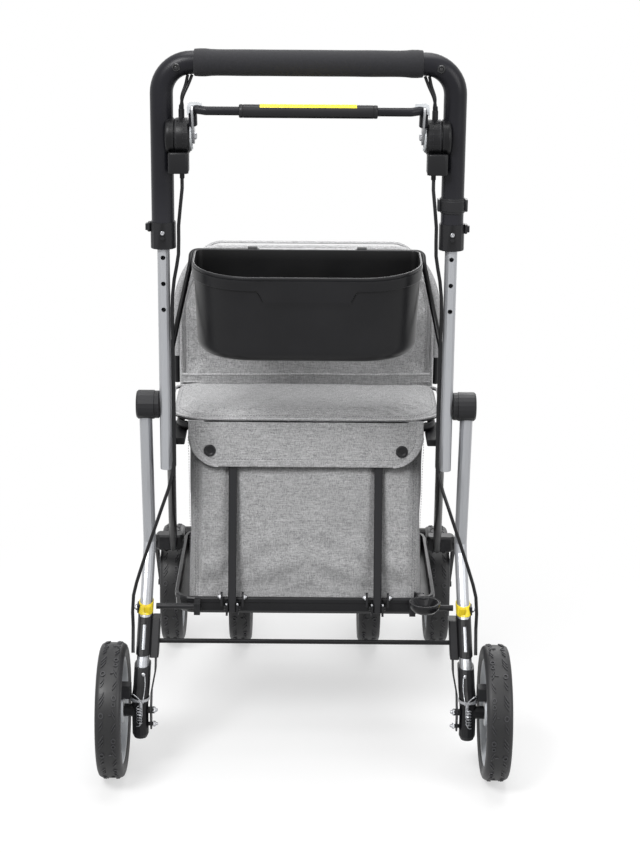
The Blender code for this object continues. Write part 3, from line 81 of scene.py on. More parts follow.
class Look:
    """A Principled material with its colour and bump made of nodes."""

    def __init__(self, name, roughness=0.5, metallic=0.0, **sockets):
        self.made = bpy.data.materials.new(name)
        self.made.use_nodes = True
        self.tree = self.made.node_tree
        self.shader = self.tree.nodes["Principled BSDF"]
        self.shader.inputs["Roughness"].default_value = roughness
        self.shader.inputs["Metallic"].default_value = metallic
        for socket, value in sockets.items():
            self.shader.inputs[socket.replace("_", " ")].default_value = value
        self.coords = self.tree.nodes.new("ShaderNodeTexCoord").outputs["Object"]

    def node(self, kind, **values):
        made = self.tree.nodes.new(kind)
        for key, value in values.items():
            key = key.replace("_", " ")
            if key in made.inputs:
                made.inputs[key].default_value = value
            else:
                setattr(made, key.replace(" ", "_"), value)
        return made

    def link(self, a, b):
        self.tree.links.new(a, b)

    def noise(self, scale, stretch=(1, 1, 1), detail=3.0, rough=0.5):
        mapping = self.node("ShaderNodeMapping")
        mapping.inputs["Scale"].default_value = stretch
        self.link(self.coords, mapping.inputs["Vector"])
        made = self.node("ShaderNodeTexNoise", Scale=scale, Detail=detail, Roughness=rough)
        self.link(mapping.outputs[0], made.inputs["Vector"])
        return made.outputs["Fac"]

    def ramp(self, source, low, high, a, b):
        made = self.node("ShaderNodeMapRange")
        for key, value in (("From Min", low), ("From Max", high), ("To Min", a), ("To Max", b)):
            made.inputs[key].default_value = value
        self.link(source, made.inputs["Value"])
        return made.outputs[0]

    def math(self, kind, a, b):
        made = self.node("ShaderNodeMath", operation=kind)
        for i, value in enumerate((a, b)):
            if isinstance(value, (int, float)):
                made.inputs[i].default_value = value
            else:
                self.link(value, made.inputs[i])
        return made.outputs[0]

    def mix(self, factor, a, b):
        made = self.node("ShaderNodeMix", data_type="RGBA")
        self.link(factor, made.inputs["Factor"])
        for key, value in ((6, a), (7, b)):
            if isinstance(value, tuple):
                made.inputs[key].default_value = value
            else:
                self.link(value, made.inputs[key])
        return made.outputs[2]

    def colour(self, source):
        self.link(source, self.shader.inputs["Base Color"])

    def rough(self, source):
        self.link(source, self.shader.inputs["Roughness"])

    def bump(self, source, distance, strength=1.0):
        made = self.node("ShaderNodeBump", Distance=distance, Strength=strength)
        self.link(source, made.inputs["Height"])
        self.link(made.outputs[0], self.shader.inputs["Normal"])

    def edge_wear_and_painted_highlight(self):
        """How sharply the surface bends, for paler edges: wear on the plastics, and a painted
        highlight where the tyre's edges catch the light.
        """
        geometry = self.node("ShaderNodeNewGeometry")
        return self.ramp(geometry.outputs["Pointiness"], 0.52, 0.60, 0.0, 1.0)


def plastic(name, dark, pale, roughness, grain=900, depth=0.00006, **sockets):
    """Moulded plastic: a fine spark-eroded grain, faint clouding and paler edges."""
    look = Look(name, roughness, **sockets)
    cloud = look.noise(14, detail=4)
    body = look.mix(look.ramp(cloud, 0.35, 0.65, 0, 1), srgb(*dark), srgb(*pale))
    edge = tuple(min(c + 22, 255) for c in pale)
    look.colour(look.mix(look.edge_wear_and_painted_highlight(), body, srgb(*edge)))
    fine = look.noise(grain, detail=2)
    look.rough(look.ramp(cloud, 0.3, 0.7, roughness - 0.05, roughness + 0.06))
    look.bump(fine, depth, 0.6)
    return look.made


def anodised(name, shade, roughness):
    """Drawn aluminium tube: lines along its length under a satin anodised skin."""
    look = Look(name, roughness, 0.45)
    lines = look.noise(60, (60, 60, 1.2), 5, 0.6)
    cloud = look.noise(9, detail=3)
    low = tuple(c - 10 for c in shade)
    body = look.mix(look.ramp(lines, 0.3, 0.7, 0, 1), srgb(*low), srgb(*shade))
    dust = tuple(max(c - 16, 0) for c in shade)
    look.colour(look.mix(look.ramp(cloud, 0.55, 0.8, 0, 0.5), body, srgb(*dust)))
    look.rough(look.ramp(lines, 0.2, 0.8, roughness - 0.05, roughness + 0.08))
    look.bump(lines, 0.00002, 0.5)
    return look.made


def metal(name, shade, roughness):
    """Zinc-plated steel, with fine scratches and slight clouding."""
    look = Look(name, roughness, 1.0)
    scratch = look.noise(500, (1, 8, 3), 4, 0.6)
    low = tuple(c - 34 for c in shade)
    look.colour(look.mix(look.ramp(scratch, 0.3, 0.7, 0, 1), srgb(*low), srgb(*shade)))
    look.rough(look.ramp(scratch, 0.25, 0.75, roughness - 0.06, roughness + 0.12))
    look.bump(scratch, 0.00003, 0.4)
    return look.made


def heather(name, dark, pale, weave=1.0):
    """Heather polyester cloth: uneven yarns that cross, with paler slubs both ways."""
    look = Look(name, 0.92, Sheen_Weight=0.2, Sheen_Roughness=0.5)
    look.shader.inputs["Sheen Tint"].default_value = srgb(225, 225, 228)
    long, fine = 130 * weave, 900 * weave
    across = look.noise(1, (long, fine, fine), 2, 0.6)
    upright = look.noise(1, (fine, fine, long), 2, 0.6)
    inward = look.noise(1, (fine, long, fine), 2, 0.6)
    yarn = look.math("ADD", look.math("ADD", across, upright), inward)
    level_slub = look.noise(1, (50, 700, 700), 2, 0.5)
    upright_slub = look.noise(1, (700, 700, 50), 2, 0.5)
    fade = look.noise(9, detail=3)
    body = look.mix(look.ramp(yarn, 1.24, 1.76, 0, 1), srgb(*dark), srgb(*pale))
    bright = tuple(min(c + 26, 255) for c in pale)
    body = look.mix(look.ramp(level_slub, 0.50, 0.68, 0, 0.34), body, srgb(*bright))
    body = look.mix(look.ramp(upright_slub, 0.54, 0.72, 0, 0.26), body, srgb(*bright))
    body = look.mix(look.ramp(upright_slub, 0.46, 0.30, 0, 0.22), body, srgb(*dark))
    middle = tuple(int(0.55 * a + 0.45 * b) for a, b in zip(dark, pale))
    look.colour(look.mix(look.ramp(fade, 0.42, 0.75, 0, 0.3), body, srgb(*middle)))
    look.bump(look.math("ADD", yarn, look.math("MULTIPLY", level_slub, 0.6)), 0.0004, 0.55)
    return look.made


def foam_rubber(name):
    look = Look(name, 0.88, Sheen_Weight=0.12)
    cells = look.node("ShaderNodeTexVoronoi", Scale=1500.0)
    look.link(look.coords, cells.inputs["Vector"])
    grain = look.noise(420, detail=4, rough=0.65)
    look.colour(look.mix(look.ramp(grain, 0.3, 0.7, 0, 1), srgb(22, 22, 26), srgb(33, 33, 37)))
    look.bump(look.math("ADD", cells.outputs["Distance"], grain), 0.0002, 0.5)
    return look.made


def tyre_rubber(name):
    look = Look(name, 0.42)
    dust = look.noise(26, detail=6, rough=0.6)
    grain = look.noise(800, detail=2)
    body = look.mix(look.ramp(dust, 0.4, 0.75, 0, 1), srgb(12, 12, 14), srgb(24, 24, 26))
    # The tyre's sharp edges turn paler: a painted highlight where they catch the light.
    look.colour(look.mix(look.edge_wear_and_painted_highlight(), body, srgb(58, 58, 61)))
    look.rough(look.ramp(dust, 0.3, 0.8, 0.42, 0.62))
    look.bump(grain, 0.0001, 0.5)
    return look.made


dull = {"Specular IOR Level": 0.22}
black = plastic("black_moulding", (15, 15, 17), (21, 21, 23), 0.36, **dull)
satin = plastic("satin_moulding", (26, 26, 28), (31, 31, 33), 0.34,
                grain=1200, depth=0.00004, **dull)
cable = plastic("cable_jacket", (18, 18, 20), (24, 24, 26), 0.3, grain=300, depth=0.00002, **dull)
coat = plastic("powder_coat", (13, 13, 15), (19, 19, 21), 0.36, grain=700, depth=0.00008, **dull)
handle_coat = plastic("handle_coat", (22, 22, 27), (27, 27, 32), 0.34,
                      grain=900, depth=0.0001, **dull)
pale_grey = plastic("pale_moulding", (188, 191, 195), (202, 205, 208), 0.45)
yellow = plastic("yellow_moulding", (244, 204, 20), (250, 213, 34), 0.42)
silver = anodised("anodised_tube", (188, 190, 194), 0.32)
steel = metal("zinc_steel", (188, 189, 192), 0.3)
foam = foam_rubber("grip_foam")
rubber = tyre_rubber("tyre_rubber")
cloth = heather("heather_cloth", (132, 132, 133), (196, 196, 197))
cloth_trim = heather("cloth_binding", (146, 146, 147), (210, 210, 211), 1.2)
# A darker copy of the bin's plastic for its inner faces: painted shade inside the bin.
painted_shade_inside = plastic("bin_interior_painted_shade", (12, 12, 13), (16, 16, 17), 0.5, grain=1200, **dull)
rivet_black = plastic("rivet_black", (16, 16, 18), (24, 24, 26), 0.22, grain=300)
thread = plastic("thread", (74, 74, 76), (96, 96, 98), 0.8, grain=2500)


# Mesh helpers
def finish_mesh(bm, name, look, body, slot, *nodes, sharp=40):
    """Links the drawn mesh as a piece that rides on the body and stands for the nodes."""
    bmesh.ops.recalc_face_normals(bm, faces=bm.faces)
    data = bpy.data.meshes.new(name)
    bm.to_mesh(data)
    bm.free()
    data.shade_smooth()
    data.set_sharp_from_angle(angle=math.radians(sharp))
    looks = look if isinstance(look, (list, tuple)) else [look]
    for item in looks:
        data.materials.append(item)
    made = bpy.data.objects.new(name, data)
    bpy.context.scene.collection.objects.link(made)
    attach(made, body)
    if nodes:
        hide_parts(*nodes)
    return made


def skin(bm, rings, closed=False, index=0):
    """Joins rings of as many points each, with caps unless they close on themselves."""
    rows = [[bm.verts.new(point) for point in ring] for ring in rings]
    count = len(rows[0])
    bands = zip(rows, rows[1:] + rows[:1]) if closed else zip(rows, rows[1:])
    for low, high in bands:
        for i in range(count):
            j = (i + 1) % count
            face = bm.faces.new((low[i], low[j], high[j], high[i]))
            face.material_index = index
    if not closed:
        for ring in (list(reversed(rows[0])), rows[-1]):
            bm.faces.new(ring).material_index = index


def circle(centre, a, b, radius, count, radius_b=None):
    radius_b = radius if radius_b is None else radius_b
    found = []
    for i in range(count):
        turn = TAU * i / count
        found.append(Vector(centre) + a * radius * math.cos(turn) + b * radius_b * math.sin(turn))
    return found


X, Y, Z = Vector((1, 0, 0)), Vector((0, 1, 0)), Vector((0, 0, 1))


def lathe_x(bm, profile, y, z, side=1, count=64, closed=True, index=0):
    """Turns a profile of (x, radius) about an axle along X."""
    rings = [circle((side * x, y, z), Y, Z, r, count) for x, r in profile]
    skin(bm, rings, closed, index)


def turned(bm, spot, out, profile, a, b, count, closed=False):
    """Turns a profile of (reach along out, radius) about the line from the spot."""
    skin(bm, [circle(Vector(spot) + out * reach, a, b, r, count) for reach, r in profile], closed)


def polar(x, y, z, reach, turn):
    """The point at this reach and turn about an axle along X."""
    return Vector((x, y + reach * math.cos(turn), z + reach * math.sin(turn)))


def mirrored(run):
    """The run's mirror image in x, from its far end back."""
    return [Vector((-p[0], p[1], p[2])) for p in reversed(run)]


def heading_at(run, i):
    """The direction of an open run at its point i."""
    return (run[min(i + 1, len(run) - 1)] - run[max(i - 1, 0)]).normalized()


def bent(points, radius, steps=8):
    """The run through the points, with each inner corner turned on the radius."""
    points = [Vector(p) for p in points]
    found = [points[0]]
    for before, corner, after in zip(points, points[1:], points[2:]):
        back, ahead = (before - corner).normalized(), (after - corner).normalized()
        half = back.angle(ahead) / 2
        reach = radius / math.tan(half)
        reach = min(reach, 0.48 * (before - corner).length, 0.48 * (after - corner).length)
        start, end = corner + back * reach, corner + ahead * reach
        for i in range(steps + 1):
            t = i / steps
            found.append(start.lerp(corner, t).lerp(corner.lerp(end, t), t))
    found.append(points[-1])
    return found


def smooth_run(points, pieces=6):
    """A smooth curve through the route's own points."""
    route = [Vector(p) for p in points]
    route = [2 * route[0] - route[1]] + route + [2 * route[-1] - route[-2]]
    found = [route[1]]
    for a, b, c, d in zip(route, route[1:], route[2:], route[3:]):
        for i in range(1, pieces + 1):
            t = i / pieces
            point = 2 * b + (c - a) * t + (2 * a - 5 * b + 4 * c - d) * t**2
            found.append(0.5 * (point + (3 * b - a - 3 * c + d) * t**3))
    return found


def draw_tube(bm, run, radius, count=16, loop=False, flat=1.0):
    """A tube swept along the run with its rings carried from one to the next untwisted."""
    run = [Vector(p) for p in run]
    rings = []
    side = None
    for i, point in enumerate(run):
        if loop:
            ahead = (run[(i + 1) % len(run)] - run[i - 1]).normalized()
        else:
            ahead = heading_at(run, i)
        if side is None:
            guess = X if abs(ahead.x) < 0.7 else Z
            side = ahead.cross(guess).normalized()
        side = (side - ahead * side.dot(ahead)).normalized()
        rings.append(circle(point, side, ahead.cross(side), radius, count, radius * flat))
    skin(bm, rings, closed=loop)


def pipe(name, run, radius, look, body, slot, *nodes, count=16, loop=False):
    bm = bmesh.new()
    draw_tube(bm, run, radius, count, loop)
    return finish_mesh(bm, name, look, body, slot, *nodes, sharp=50)


def rounded_box(bm, low, high, edge, index=0):
    """A box with round edges, drawn as stacked rounded rectangles."""
    (x0, y0, z0), (x1, y1, z1) = low, high
    x0, x1 = min(x0, x1), max(x0, x1)
    steps = 3
    turns = [math.pi / 2 * (1 - i / steps) for i in range(steps + 1)]
    levels = [(z0 + edge * (1 - math.sin(t)), edge * (1 - math.cos(t))) for t in turns]
    levels += [(z1 - (z - z0), inset) for z, inset in reversed(levels)]
    rings = [rounded_rectangle(x0, x1, y0, y1, z, 2 * edge, inset, steps) for z, inset in levels]
    skin(bm, rings, index=index)


def quarter_arc(u, v, wide, tall, quarter, steps):
    """(u, v) points on one quarter of an oval, counted from +u towards +v."""
    turns = [math.pi / 2 * (quarter + i / steps) for i in range(steps + 1)]
    return [(u + wide * math.cos(turn), v + tall * math.sin(turn)) for turn in turns]


def cornered(x0, x1, y0, y1, z, radii, steps):
    """A level outline whose corners have their own radii, from (x1, y1) by way of (x0, y1)."""
    found = []
    for quarter, (r, count) in enumerate(zip(radii, steps)):
        cx = x1 - r if quarter in (0, 3) else x0 + r
        cy = y1 - r if quarter in (0, 1) else y0 + r
        found += [Vector((x, y, z)) for x, y in quarter_arc(cx, cy, r, r, quarter, count)]
    return found


def rounded_rectangle(x0, x1, y0, y1, z, radius, inset=0.0, steps=6):
    x0, x1, y0, y1 = x0 + inset, x1 - inset, y0 + inset, y1 - inset
    radius = max(min(radius - inset, (x1 - x0) / 2, (y1 - y0) / 2), 0.0002)
    return cornered(x0, x1, y0, y1, z, [radius] * 4, [steps] * 4)


def step(low, high, value):
    """A soft step from 0 to 1."""
    t = min(max((value - low) / (high - low), 0.0), 1.0)
    return t * t * (3 - 2 * t)


# Sizes of the CAD frame, read off the part
COLUMN_X, COLUMN_Y = 0.2025, -0.160
HANDLE_Z, HANDLE_R, HANDLE_BEND = 1.026, 0.016, 0.042
PIVOT_Y, PIVOT_Z = -0.165, 0.926
BAR_Y, BAR_Z = -0.200, 0.9655
KNOB_Y, KNOB_Z = -0.156, 0.536
REAR_Y, FRONT_Y, AXLE_Z = -0.255, 0.255, 0.100
KNUCKLE_X, LATCH_Z = 0.239, 0.2295
REAR_TRACK, FRONT_TRACK, INNER_TRACK = 0.278, 0.222, 0.108
STRUT_X, LEG_HALF_X = 0.108, 0.00925
RAIL_Y, RAIL_Z = -0.0512, 0.740
BAG_HALF, BAG_FAR, BAG_CORNER = 0.176, 0.1435, 0.022
BAG_NEAR_LOW, BAG_NEAR_LEAN = -0.140, 0.0476
LID_HALF, LID_NEAR, LID_FAR = 0.2015, -0.0973, 0.080
SNAP_X, SNAP_Z = 0.142, 0.452
UPPER_HALF, UPPER_LOW, UPPER_TOP = 0.198, 0.4764, 0.706
UPPER_NEAR, UPPER_FAR = 0.084, 0.196
SEAM_X = -0.0255
BAG_TOP, BAG_FLOOR = 0.4761, 0.2133


def strut_y(z):
    return -0.1585 + (z - 0.222) / (0.4755 - 0.222) * 0.061


def flap_y(z):
    return strut_y(z) - 0.0055


def leg_y(z):
    if z > 0.310:
        return KNOB_Y + (KNOB_Z - z) / 0.226 * 0.036
    return -0.120 - (0.310 - z) / 0.210 * 0.135


def leg_x(z):
    return 0.232 if z > 0.310 else 0.232 + (0.310 - z) / 0.210 * 0.007


# Handle, brake bar and housings
def make_handle():
    top = HANDLE_Z - HANDLE_BEND
    run = [Vector((-COLUMN_X, COLUMN_Y, z)) for z in (0.772, 0.86)]
    for i in range(13):
        turn = math.pi / 2 * i / 12
        out = Vector((-math.cos(turn), 0, math.sin(turn))) * HANDLE_BEND
        run.append(Vector((-COLUMN_X + HANDLE_BEND, COLUMN_Y, top)) + out)
    run += mirrored(run)
    bm = bmesh.new()
    outside, inside = [], []
    for i, point in enumerate(run):
        across = heading_at(run, i).cross(Y).normalized()
        outside.append(circle(point, across, Y, HANDLE_R, 40))
        inside.append(circle(point, across, Y, 0.0144, 40))
    skin(bm, outside + inside[::-1], closed=True)
    finish_mesh(bm, "handle_bend", handle_coat, "handle", "black_plastic", "handle_tube", sharp=50)

    bm = bmesh.new()
    lean = math.radians(29)
    across, up = HANDLE_BEND * (1 - math.sin(lean)), HANDLE_BEND * math.cos(lean)
    rim = ((-0.0150, 0.0058), (-0.0166, 0.0057), (-0.0178, 0.0048), (-0.0178, 0.0036),
           (-0.0163, 0.0030))
    eye = ((-0.0160, 0.0020), (-0.0172, 0.0018), (-0.0177, 0.0009))
    for side in (-1, 1):
        for profile in (rim, eye):
            turned(bm, (side * (COLUMN_X - across), COLUMN_Y, top + up), Y, profile, X, Z, 24)
    finish_mesh(bm, "handle_rivets", rivet_black, "handle", "black_plastic", sharp=30)

    bm = bmesh.new()
    half, bore, end_r = 0.157, 0.0163, 0.0174
    edge, edge_r = half - 0.0008, 0.0185
    outer = []
    for i in range(1, 40):
        x = half - 2 * half * i / 40
        r = 0.0180 + 0.0010 * step(half - 0.027, half - 0.016, abs(x))
        outer.append((x, r + 0.00022 * noise.noise(Vector((x * 30, 2, 5)))))
    profile = [(-half, bore), (half, bore), (half, end_r), (edge, edge_r)]
    profile += outer + [(-edge, edge_r), (-half, end_r)]
    lathe_x(bm, profile, COLUMN_Y, HANDLE_Z, 1, 48)
    finish_mesh(bm, "grip_foam_tube", foam, "handle", "foam", "handle_grip", sharp=50)

    bm = bmesh.new()
    bore = 0.0162
    for z0, z1, r in ((0.8205, 0.8415, 0.0176), (0.8235, 0.8385, 0.0183)):
        profile = ((z0, bore), (z0, r - 0.0006), (z0 + 0.0008, r),
                   (z1 - 0.0008, r), (z1, r - 0.0006), (z1, bore))
        turned(bm, (COLUMN_X, COLUMN_Y, 0), Z, profile, X, Y, 40, closed=True)
    for side in (-1, 1):
        x = COLUMN_X + side * 0.0190
        rounded_box(bm, (x - 0.0022, COLUMN_Y - 0.008, 0.8225),
                    (x + 0.0022, COLUMN_Y + 0.008, 0.8395), 0.0012)
    finish_mesh(bm, "cable_strap", satin, "handle", "satin_plastic", sharp=35)


def make_brake_bar():
    route = [(-0.1580, -0.1800, 0.9440), (-0.1580, -0.1880, 0.9600), (-0.1555, -0.1940, 0.9670),
             (-0.1400, -0.2000, BAR_Z), (-0.1200, -0.2000, BAR_Z)]
    left = bent(route, 0.007, 8)
    bm = bmesh.new()
    draw_tube(bm, left + mirrored(left), 0.006, 24)
    heading = math.atan2(BAR_Z - PIVOT_Z, BAR_Y - PIVOT_Y)
    for side in (-1, 1):
        rings = []
        for x, shrink in ((0.1565, 0.0003), (0.1568, 0.0), (0.1594, 0.0), (0.1597, 0.0003)):
            outline = []
            for y, z, r, start in ((BAR_Y, BAR_Z, 0.007, 0), (PIVOT_Y, PIVOT_Z, 0.011, 1)):
                for i in range(13):
                    turn = heading - math.pi / 2 + math.pi * start + math.pi * i / 12
                    outline.append(polar(side * x, y, z, r - shrink, turn))
            rings.append(outline)
        skin(bm, rings, index=1)
        head = ((0.1535, 0.0034), (0.1545, 0.0050), (0.1566, 0.0052))
        pin = ((0.1595, 0.003), (0.175, 0.003))
        for profile, count in ((head, 24), (pin, 16)):
            lathe_x(bm, profile, PIVOT_Y, PIVOT_Z, side, count, closed=False, index=1)
    finish_mesh(bm, "brake_bar_bend", [handle_coat, steel], "brake_lever", "black_plastic",
                "brake_bar")

    bm = bmesh.new()
    half, bore, r = 0.0945, 0.0063, 0.00925
    end = [(half, r - 0.0014), (half - 0.0006, r - 0.0004), (half - 0.0014, r), (half - 0.0050, r),
           (half - 0.0054, r - 0.0003), (half - 0.0060, r - 0.0003), (half - 0.0064, r)]
    profile = [(-half, bore), (half, bore)] + end + [(-x, rim) for x, rim in reversed(end)]
    lathe_x(bm, profile, BAR_Y, BAR_Z, 1, 48)
    finish_mesh(bm, "bar_sleeve", satin, "brake_lever", "satin_plastic", "brake_bar_sleeve",
                sharp=35)

    bm = bmesh.new()
    rings = []
    for x, lift in ((-0.066, 0.0001), (-0.0655, 0.00042), (0.0655, 0.00042), (0.066, 0.0001)):
        outside, inside = [], []
        for i in range(17):
            turn = math.radians(62 + 78 * i / 16)
            rim = r + (0.0001 if i in (0, 16) else lift)
            for points, reach in ((outside, rim), (inside, r - 0.0002)):
                points.append(polar(x, BAR_Y, BAR_Z, reach, turn))
        rings.append(outside + inside[::-1])
    skin(bm, rings)
    finish_mesh(bm, "bare_strip", yellow, "brake_lever", "yellow_plastic", sharp=30)

    bm = bmesh.new()
    near, far = -0.1945, -0.1927
    for side in (-1, 1):
        rings = []
        for x, low, high in ((0.1655, 0.9560, 0.9700), (0.1640, 0.9600, 0.9745),
                             (0.1600, 0.9640, 0.9765), (0.1500, 0.9690, 0.9765),
                             (0.1462, 0.9690, 0.9755), (0.1450, 0.9690, 0.9735)):
            corners = ((near, low), (far, low), (far, high), (near, high))
            rings.append([Vector((side * x, y, z)) for y, z in corners])
        skin(bm, rings)
    finish_mesh(bm, "bar_straps", pale_grey, "brake_lever", "light_grey_plastic", sharp=30)


def make_cover(name, side):
    """The light disc on a drum's inner side, with its three screws."""
    bm = bmesh.new()
    a, b, screw_r = 0.1600, 0.1627, 0.0168
    profile = [(a, 0.0033), (a, 0.0120), (a + 0.0004, 0.0128), (a + 0.0004, 0.0150),
               (a, 0.0158), (a, 0.0186), (a + 0.0006, 0.0202), (a + 0.0016, 0.0210),
               (b, 0.0210), (b, 0.0033)]
    lathe_x(bm, profile, PIVOT_Y, PIVOT_Z, side, 56)
    for turn in (0.6, 2.7, 4.8):
        spot = polar(side * (a + 0.0003), PIVOT_Y, PIVOT_Z, screw_r, turn)
        turned(bm, spot, X * -side, ((0, 0.0022), (0.0011, 0.0018)), Y, Z, 14)
    finish_mesh(bm, "cover_disc_" + name, pale_grey, "handle", "light_grey_plastic",
                "housing_cover_" + name, sharp=30)


def make_drum(name, side):
    """The housing's round drum with its parting groove."""
    bm = bmesh.new()
    a, b = 0.1630, 0.1855
    profile = [(a, 0.0033), (a, 0.0218), (a + 0.0008, 0.0232), (a + 0.0034, 0.0249),
               (a + 0.0078, 0.0250), (a + 0.0082, 0.0246), (a + 0.0088, 0.0246),
               (a + 0.0092, 0.0250), (b - 0.0050, 0.0250), (b - 0.0012, 0.0236),
               (b, 0.0218), (b, 0.0033)]
    lathe_x(bm, profile, PIVOT_Y, PIVOT_Z, side, 64)
    finish_mesh(bm, "brake_drum_" + name, black, "handle", "black_plastic", sharp=30)


def make_clamp(name, side):
    """The drum's clamp, cut to the handle tube, and the block that hangs under it."""
    bm = bmesh.new()
    tube_r = 0.0163
    rings = []
    for x, reach in ((0.1850, 0.0244), (0.1856, 0.0250), (0.1880, 0.0250), (0.1910, 0.0250),
                     (0.1932, 0.0250), (0.1950, 0.0246), (0.1962, 0.0236), (0.1968, 0.0220)):
        front = COLUMN_Y - math.sqrt(max(tube_r**2 - (x - COLUMN_X) ** 2, 0.0))
        start = math.acos(max(-1.0, (front - PIVOT_Y) / reach))
        turns = [start + (TAU - 2 * start) * i / 32 for i in range(33)]
        rings.append([polar(side * x, PIVOT_Y, PIVOT_Z, reach, turn) for turn in turns])
    skin(bm, rings)
    inner, low, high, edge = 0.1648, 0.8762, 0.9058, 0.0024
    for outer, near, far in ((0.1932, -0.1885, -0.1768), (0.1848, -0.1790, -0.1560)):
        rounded_box(bm, (side * inner, near, low), (side * outer, far, high), edge)
    finish_mesh(bm, "clamp_block_" + name, black, "handle", "black_plastic", sharp=30)


FERRULE = ((-0.0060, 0.0030), (-0.0055, 0.0034), (0.0000, 0.0034), (0.0012, 0.0040),
           (0.0030, 0.0040))
LOOP_FERRULE = ((-0.001, 0.0042), (0.0120, 0.0042), (0.0128, 0.0036), (0.0180, 0.0034),
                (0.0184, 0.0028))
SCREW = ((-0.0006, 0.0030), (0.0004, 0.0029), (0.0008, 0.0024), (0.0006, 0.0014),
         (0.0001, 0.0009))


def make_cable_pair(name, side):
    """The two cable loops that stand up from the clamp and enter the handle."""
    bm = bmesh.new()
    for start_x, bow in ((0.1600, 0.0), (0.1660, 0.0022)):
        route = [(start_x, -0.1575, 1.0090), (start_x + 0.0052 - bow, -0.1600, 0.9960),
                 (start_x + 0.0125 - bow * 2, -0.1640, 0.9800), (0.1755 - bow, -0.1650, 0.9660)]
        draw_tube(bm, smooth_run([(side * a, b, c) for a, b, c in route], 8), 0.0022, 14)
    finish_mesh(bm, "cable_pair_" + name, cable, "handle", "black_plastic",
                "cable_loop_" + name, sharp=50)


def turned_piece(name, look, slot, *form):
    """A small turned part of the handle."""
    bm = bmesh.new()
    turned(bm, *form, 20)
    finish_mesh(bm, name, look, "handle", slot, sharp=30)


def make_housings():
    cable_x = 0.1748
    for name, side in SIDES:
        make_cover(name, side)
        make_drum(name, side)
        make_clamp(name, side)
        turned_piece("cable_ferrule_" + name, black, "black_plastic",
                     (side * cable_x, PIVOT_Y + 0.001, 0.8725), Z, FERRULE, X, Y)
        make_cable_pair(name, side)
        turned_piece("loop_ferrule_" + name, black, "black_plastic",
                     (side * cable_x, -0.1650, 0.9505), Z, LOOP_FERRULE, X, Y)
        turned_piece("collar_screw_" + name, steel, "bright_steel",
                     (side * COLUMN_X, COLUMN_Y - 0.0192, 0.7915), -Y, SCREW, X, Z)


make_handle()
make_brake_bar()
make_housings()


# Wheels
TREAD_R = 0.0981
TREAD_GROUPS = 10
# Slashes: first turn, how many, turn between them, x, length, width, slant. Rings: turn, x, size.
TREAD = ((0, 3, 0.060, 0.0088, 0.0135, 0.0024, 0.55), (0.285, 0.0086, 0.0045),
         (0.405, 2, 0.060, 0.0090, 0.0100, 0.0022, 0.55), (0.03, -0.0088, 0.0042),
         (0.125, -0.0086, 0.0036), (0.235, 2, 0.055, -0.0090, 0.0110, 0.0023, -0.45),
         (0.275, 1, 0, -0.0038, 0.0050, 0.0022, 1.45),
         (0.430, 2, 0.060, -0.0092, 0.0120, 0.0022, 0.5))


def tread_marks(bm, track, y, side):
    """Raised slashes and rings moulded on the tread, in two staggered rows."""

    def spot(turn, x, along, across, lift):
        turn, x = turn + along / TREAD_R, x + across
        r = TREAD_R + (lift - x**2 * 5)
        return polar(side * (track + x), y, AXLE_Z, r, turn)

    def slash(turn, x, length, width, slant, lift=0.0018):
        c, s = math.cos(slant), math.sin(slant)
        rings = []
        for out, shrink in ((-0.0006, 1.0), (lift * 0.75, 0.95), (lift, 0.55)):
            ring = []
            for i in range(14):
                a = TAU * i / 14
                u = math.cos(a) * (length - width * (1 - shrink)) / 2
                v = math.sin(a) * width / 2 * shrink
                ring.append(spot(turn, x, u * c - v * s, u * s + v * c, out))
            rings.append(ring)
        skin(bm, rings)

    def ring_mark(turn, x, size, lift=0.0017):
        turns = [TAU * i / 20 for i in range(20)]
        skin(bm, [[spot(turn, x, math.cos(a) * size * scale, math.sin(a) * size * 0.85 * scale, out)
                   for a in turns]
                  for out, scale in ((-0.0005, 1.0), (lift, 0.92), (lift, 0.62), (-0.0005, 0.54))],
             closed=True)

    for group in range(TREAD_GROUPS):
        base = TAU * group / TREAD_GROUPS
        for first, *mark in TREAD:
            if len(mark) == 2:
                ring_mark(base + first, *mark)
                continue
            count, pitch, *form = mark
            for k in range(count):
                slash(base + first + pitch * k, *form)


TYRE = ((0.0150, 0.0783), (0.0164, 0.0800), (0.0176, 0.0835), (0.0184, 0.0885), (0.0183, 0.0925),
        (0.0171, 0.0953), (0.0148, 0.0970), (0.0112, 0.0978), (0.0060, 0.0981), (0.0, 0.0982))


def draw_tyre(bm, track, y, side):
    profile = [(track - x, r) for x, r in TYRE] + [(track + x, r) for x, r in reversed(TYRE[:-1])]
    lathe_x(bm, profile, y, AXLE_Z, side, 112)
    tread_marks(bm, track, y, side)


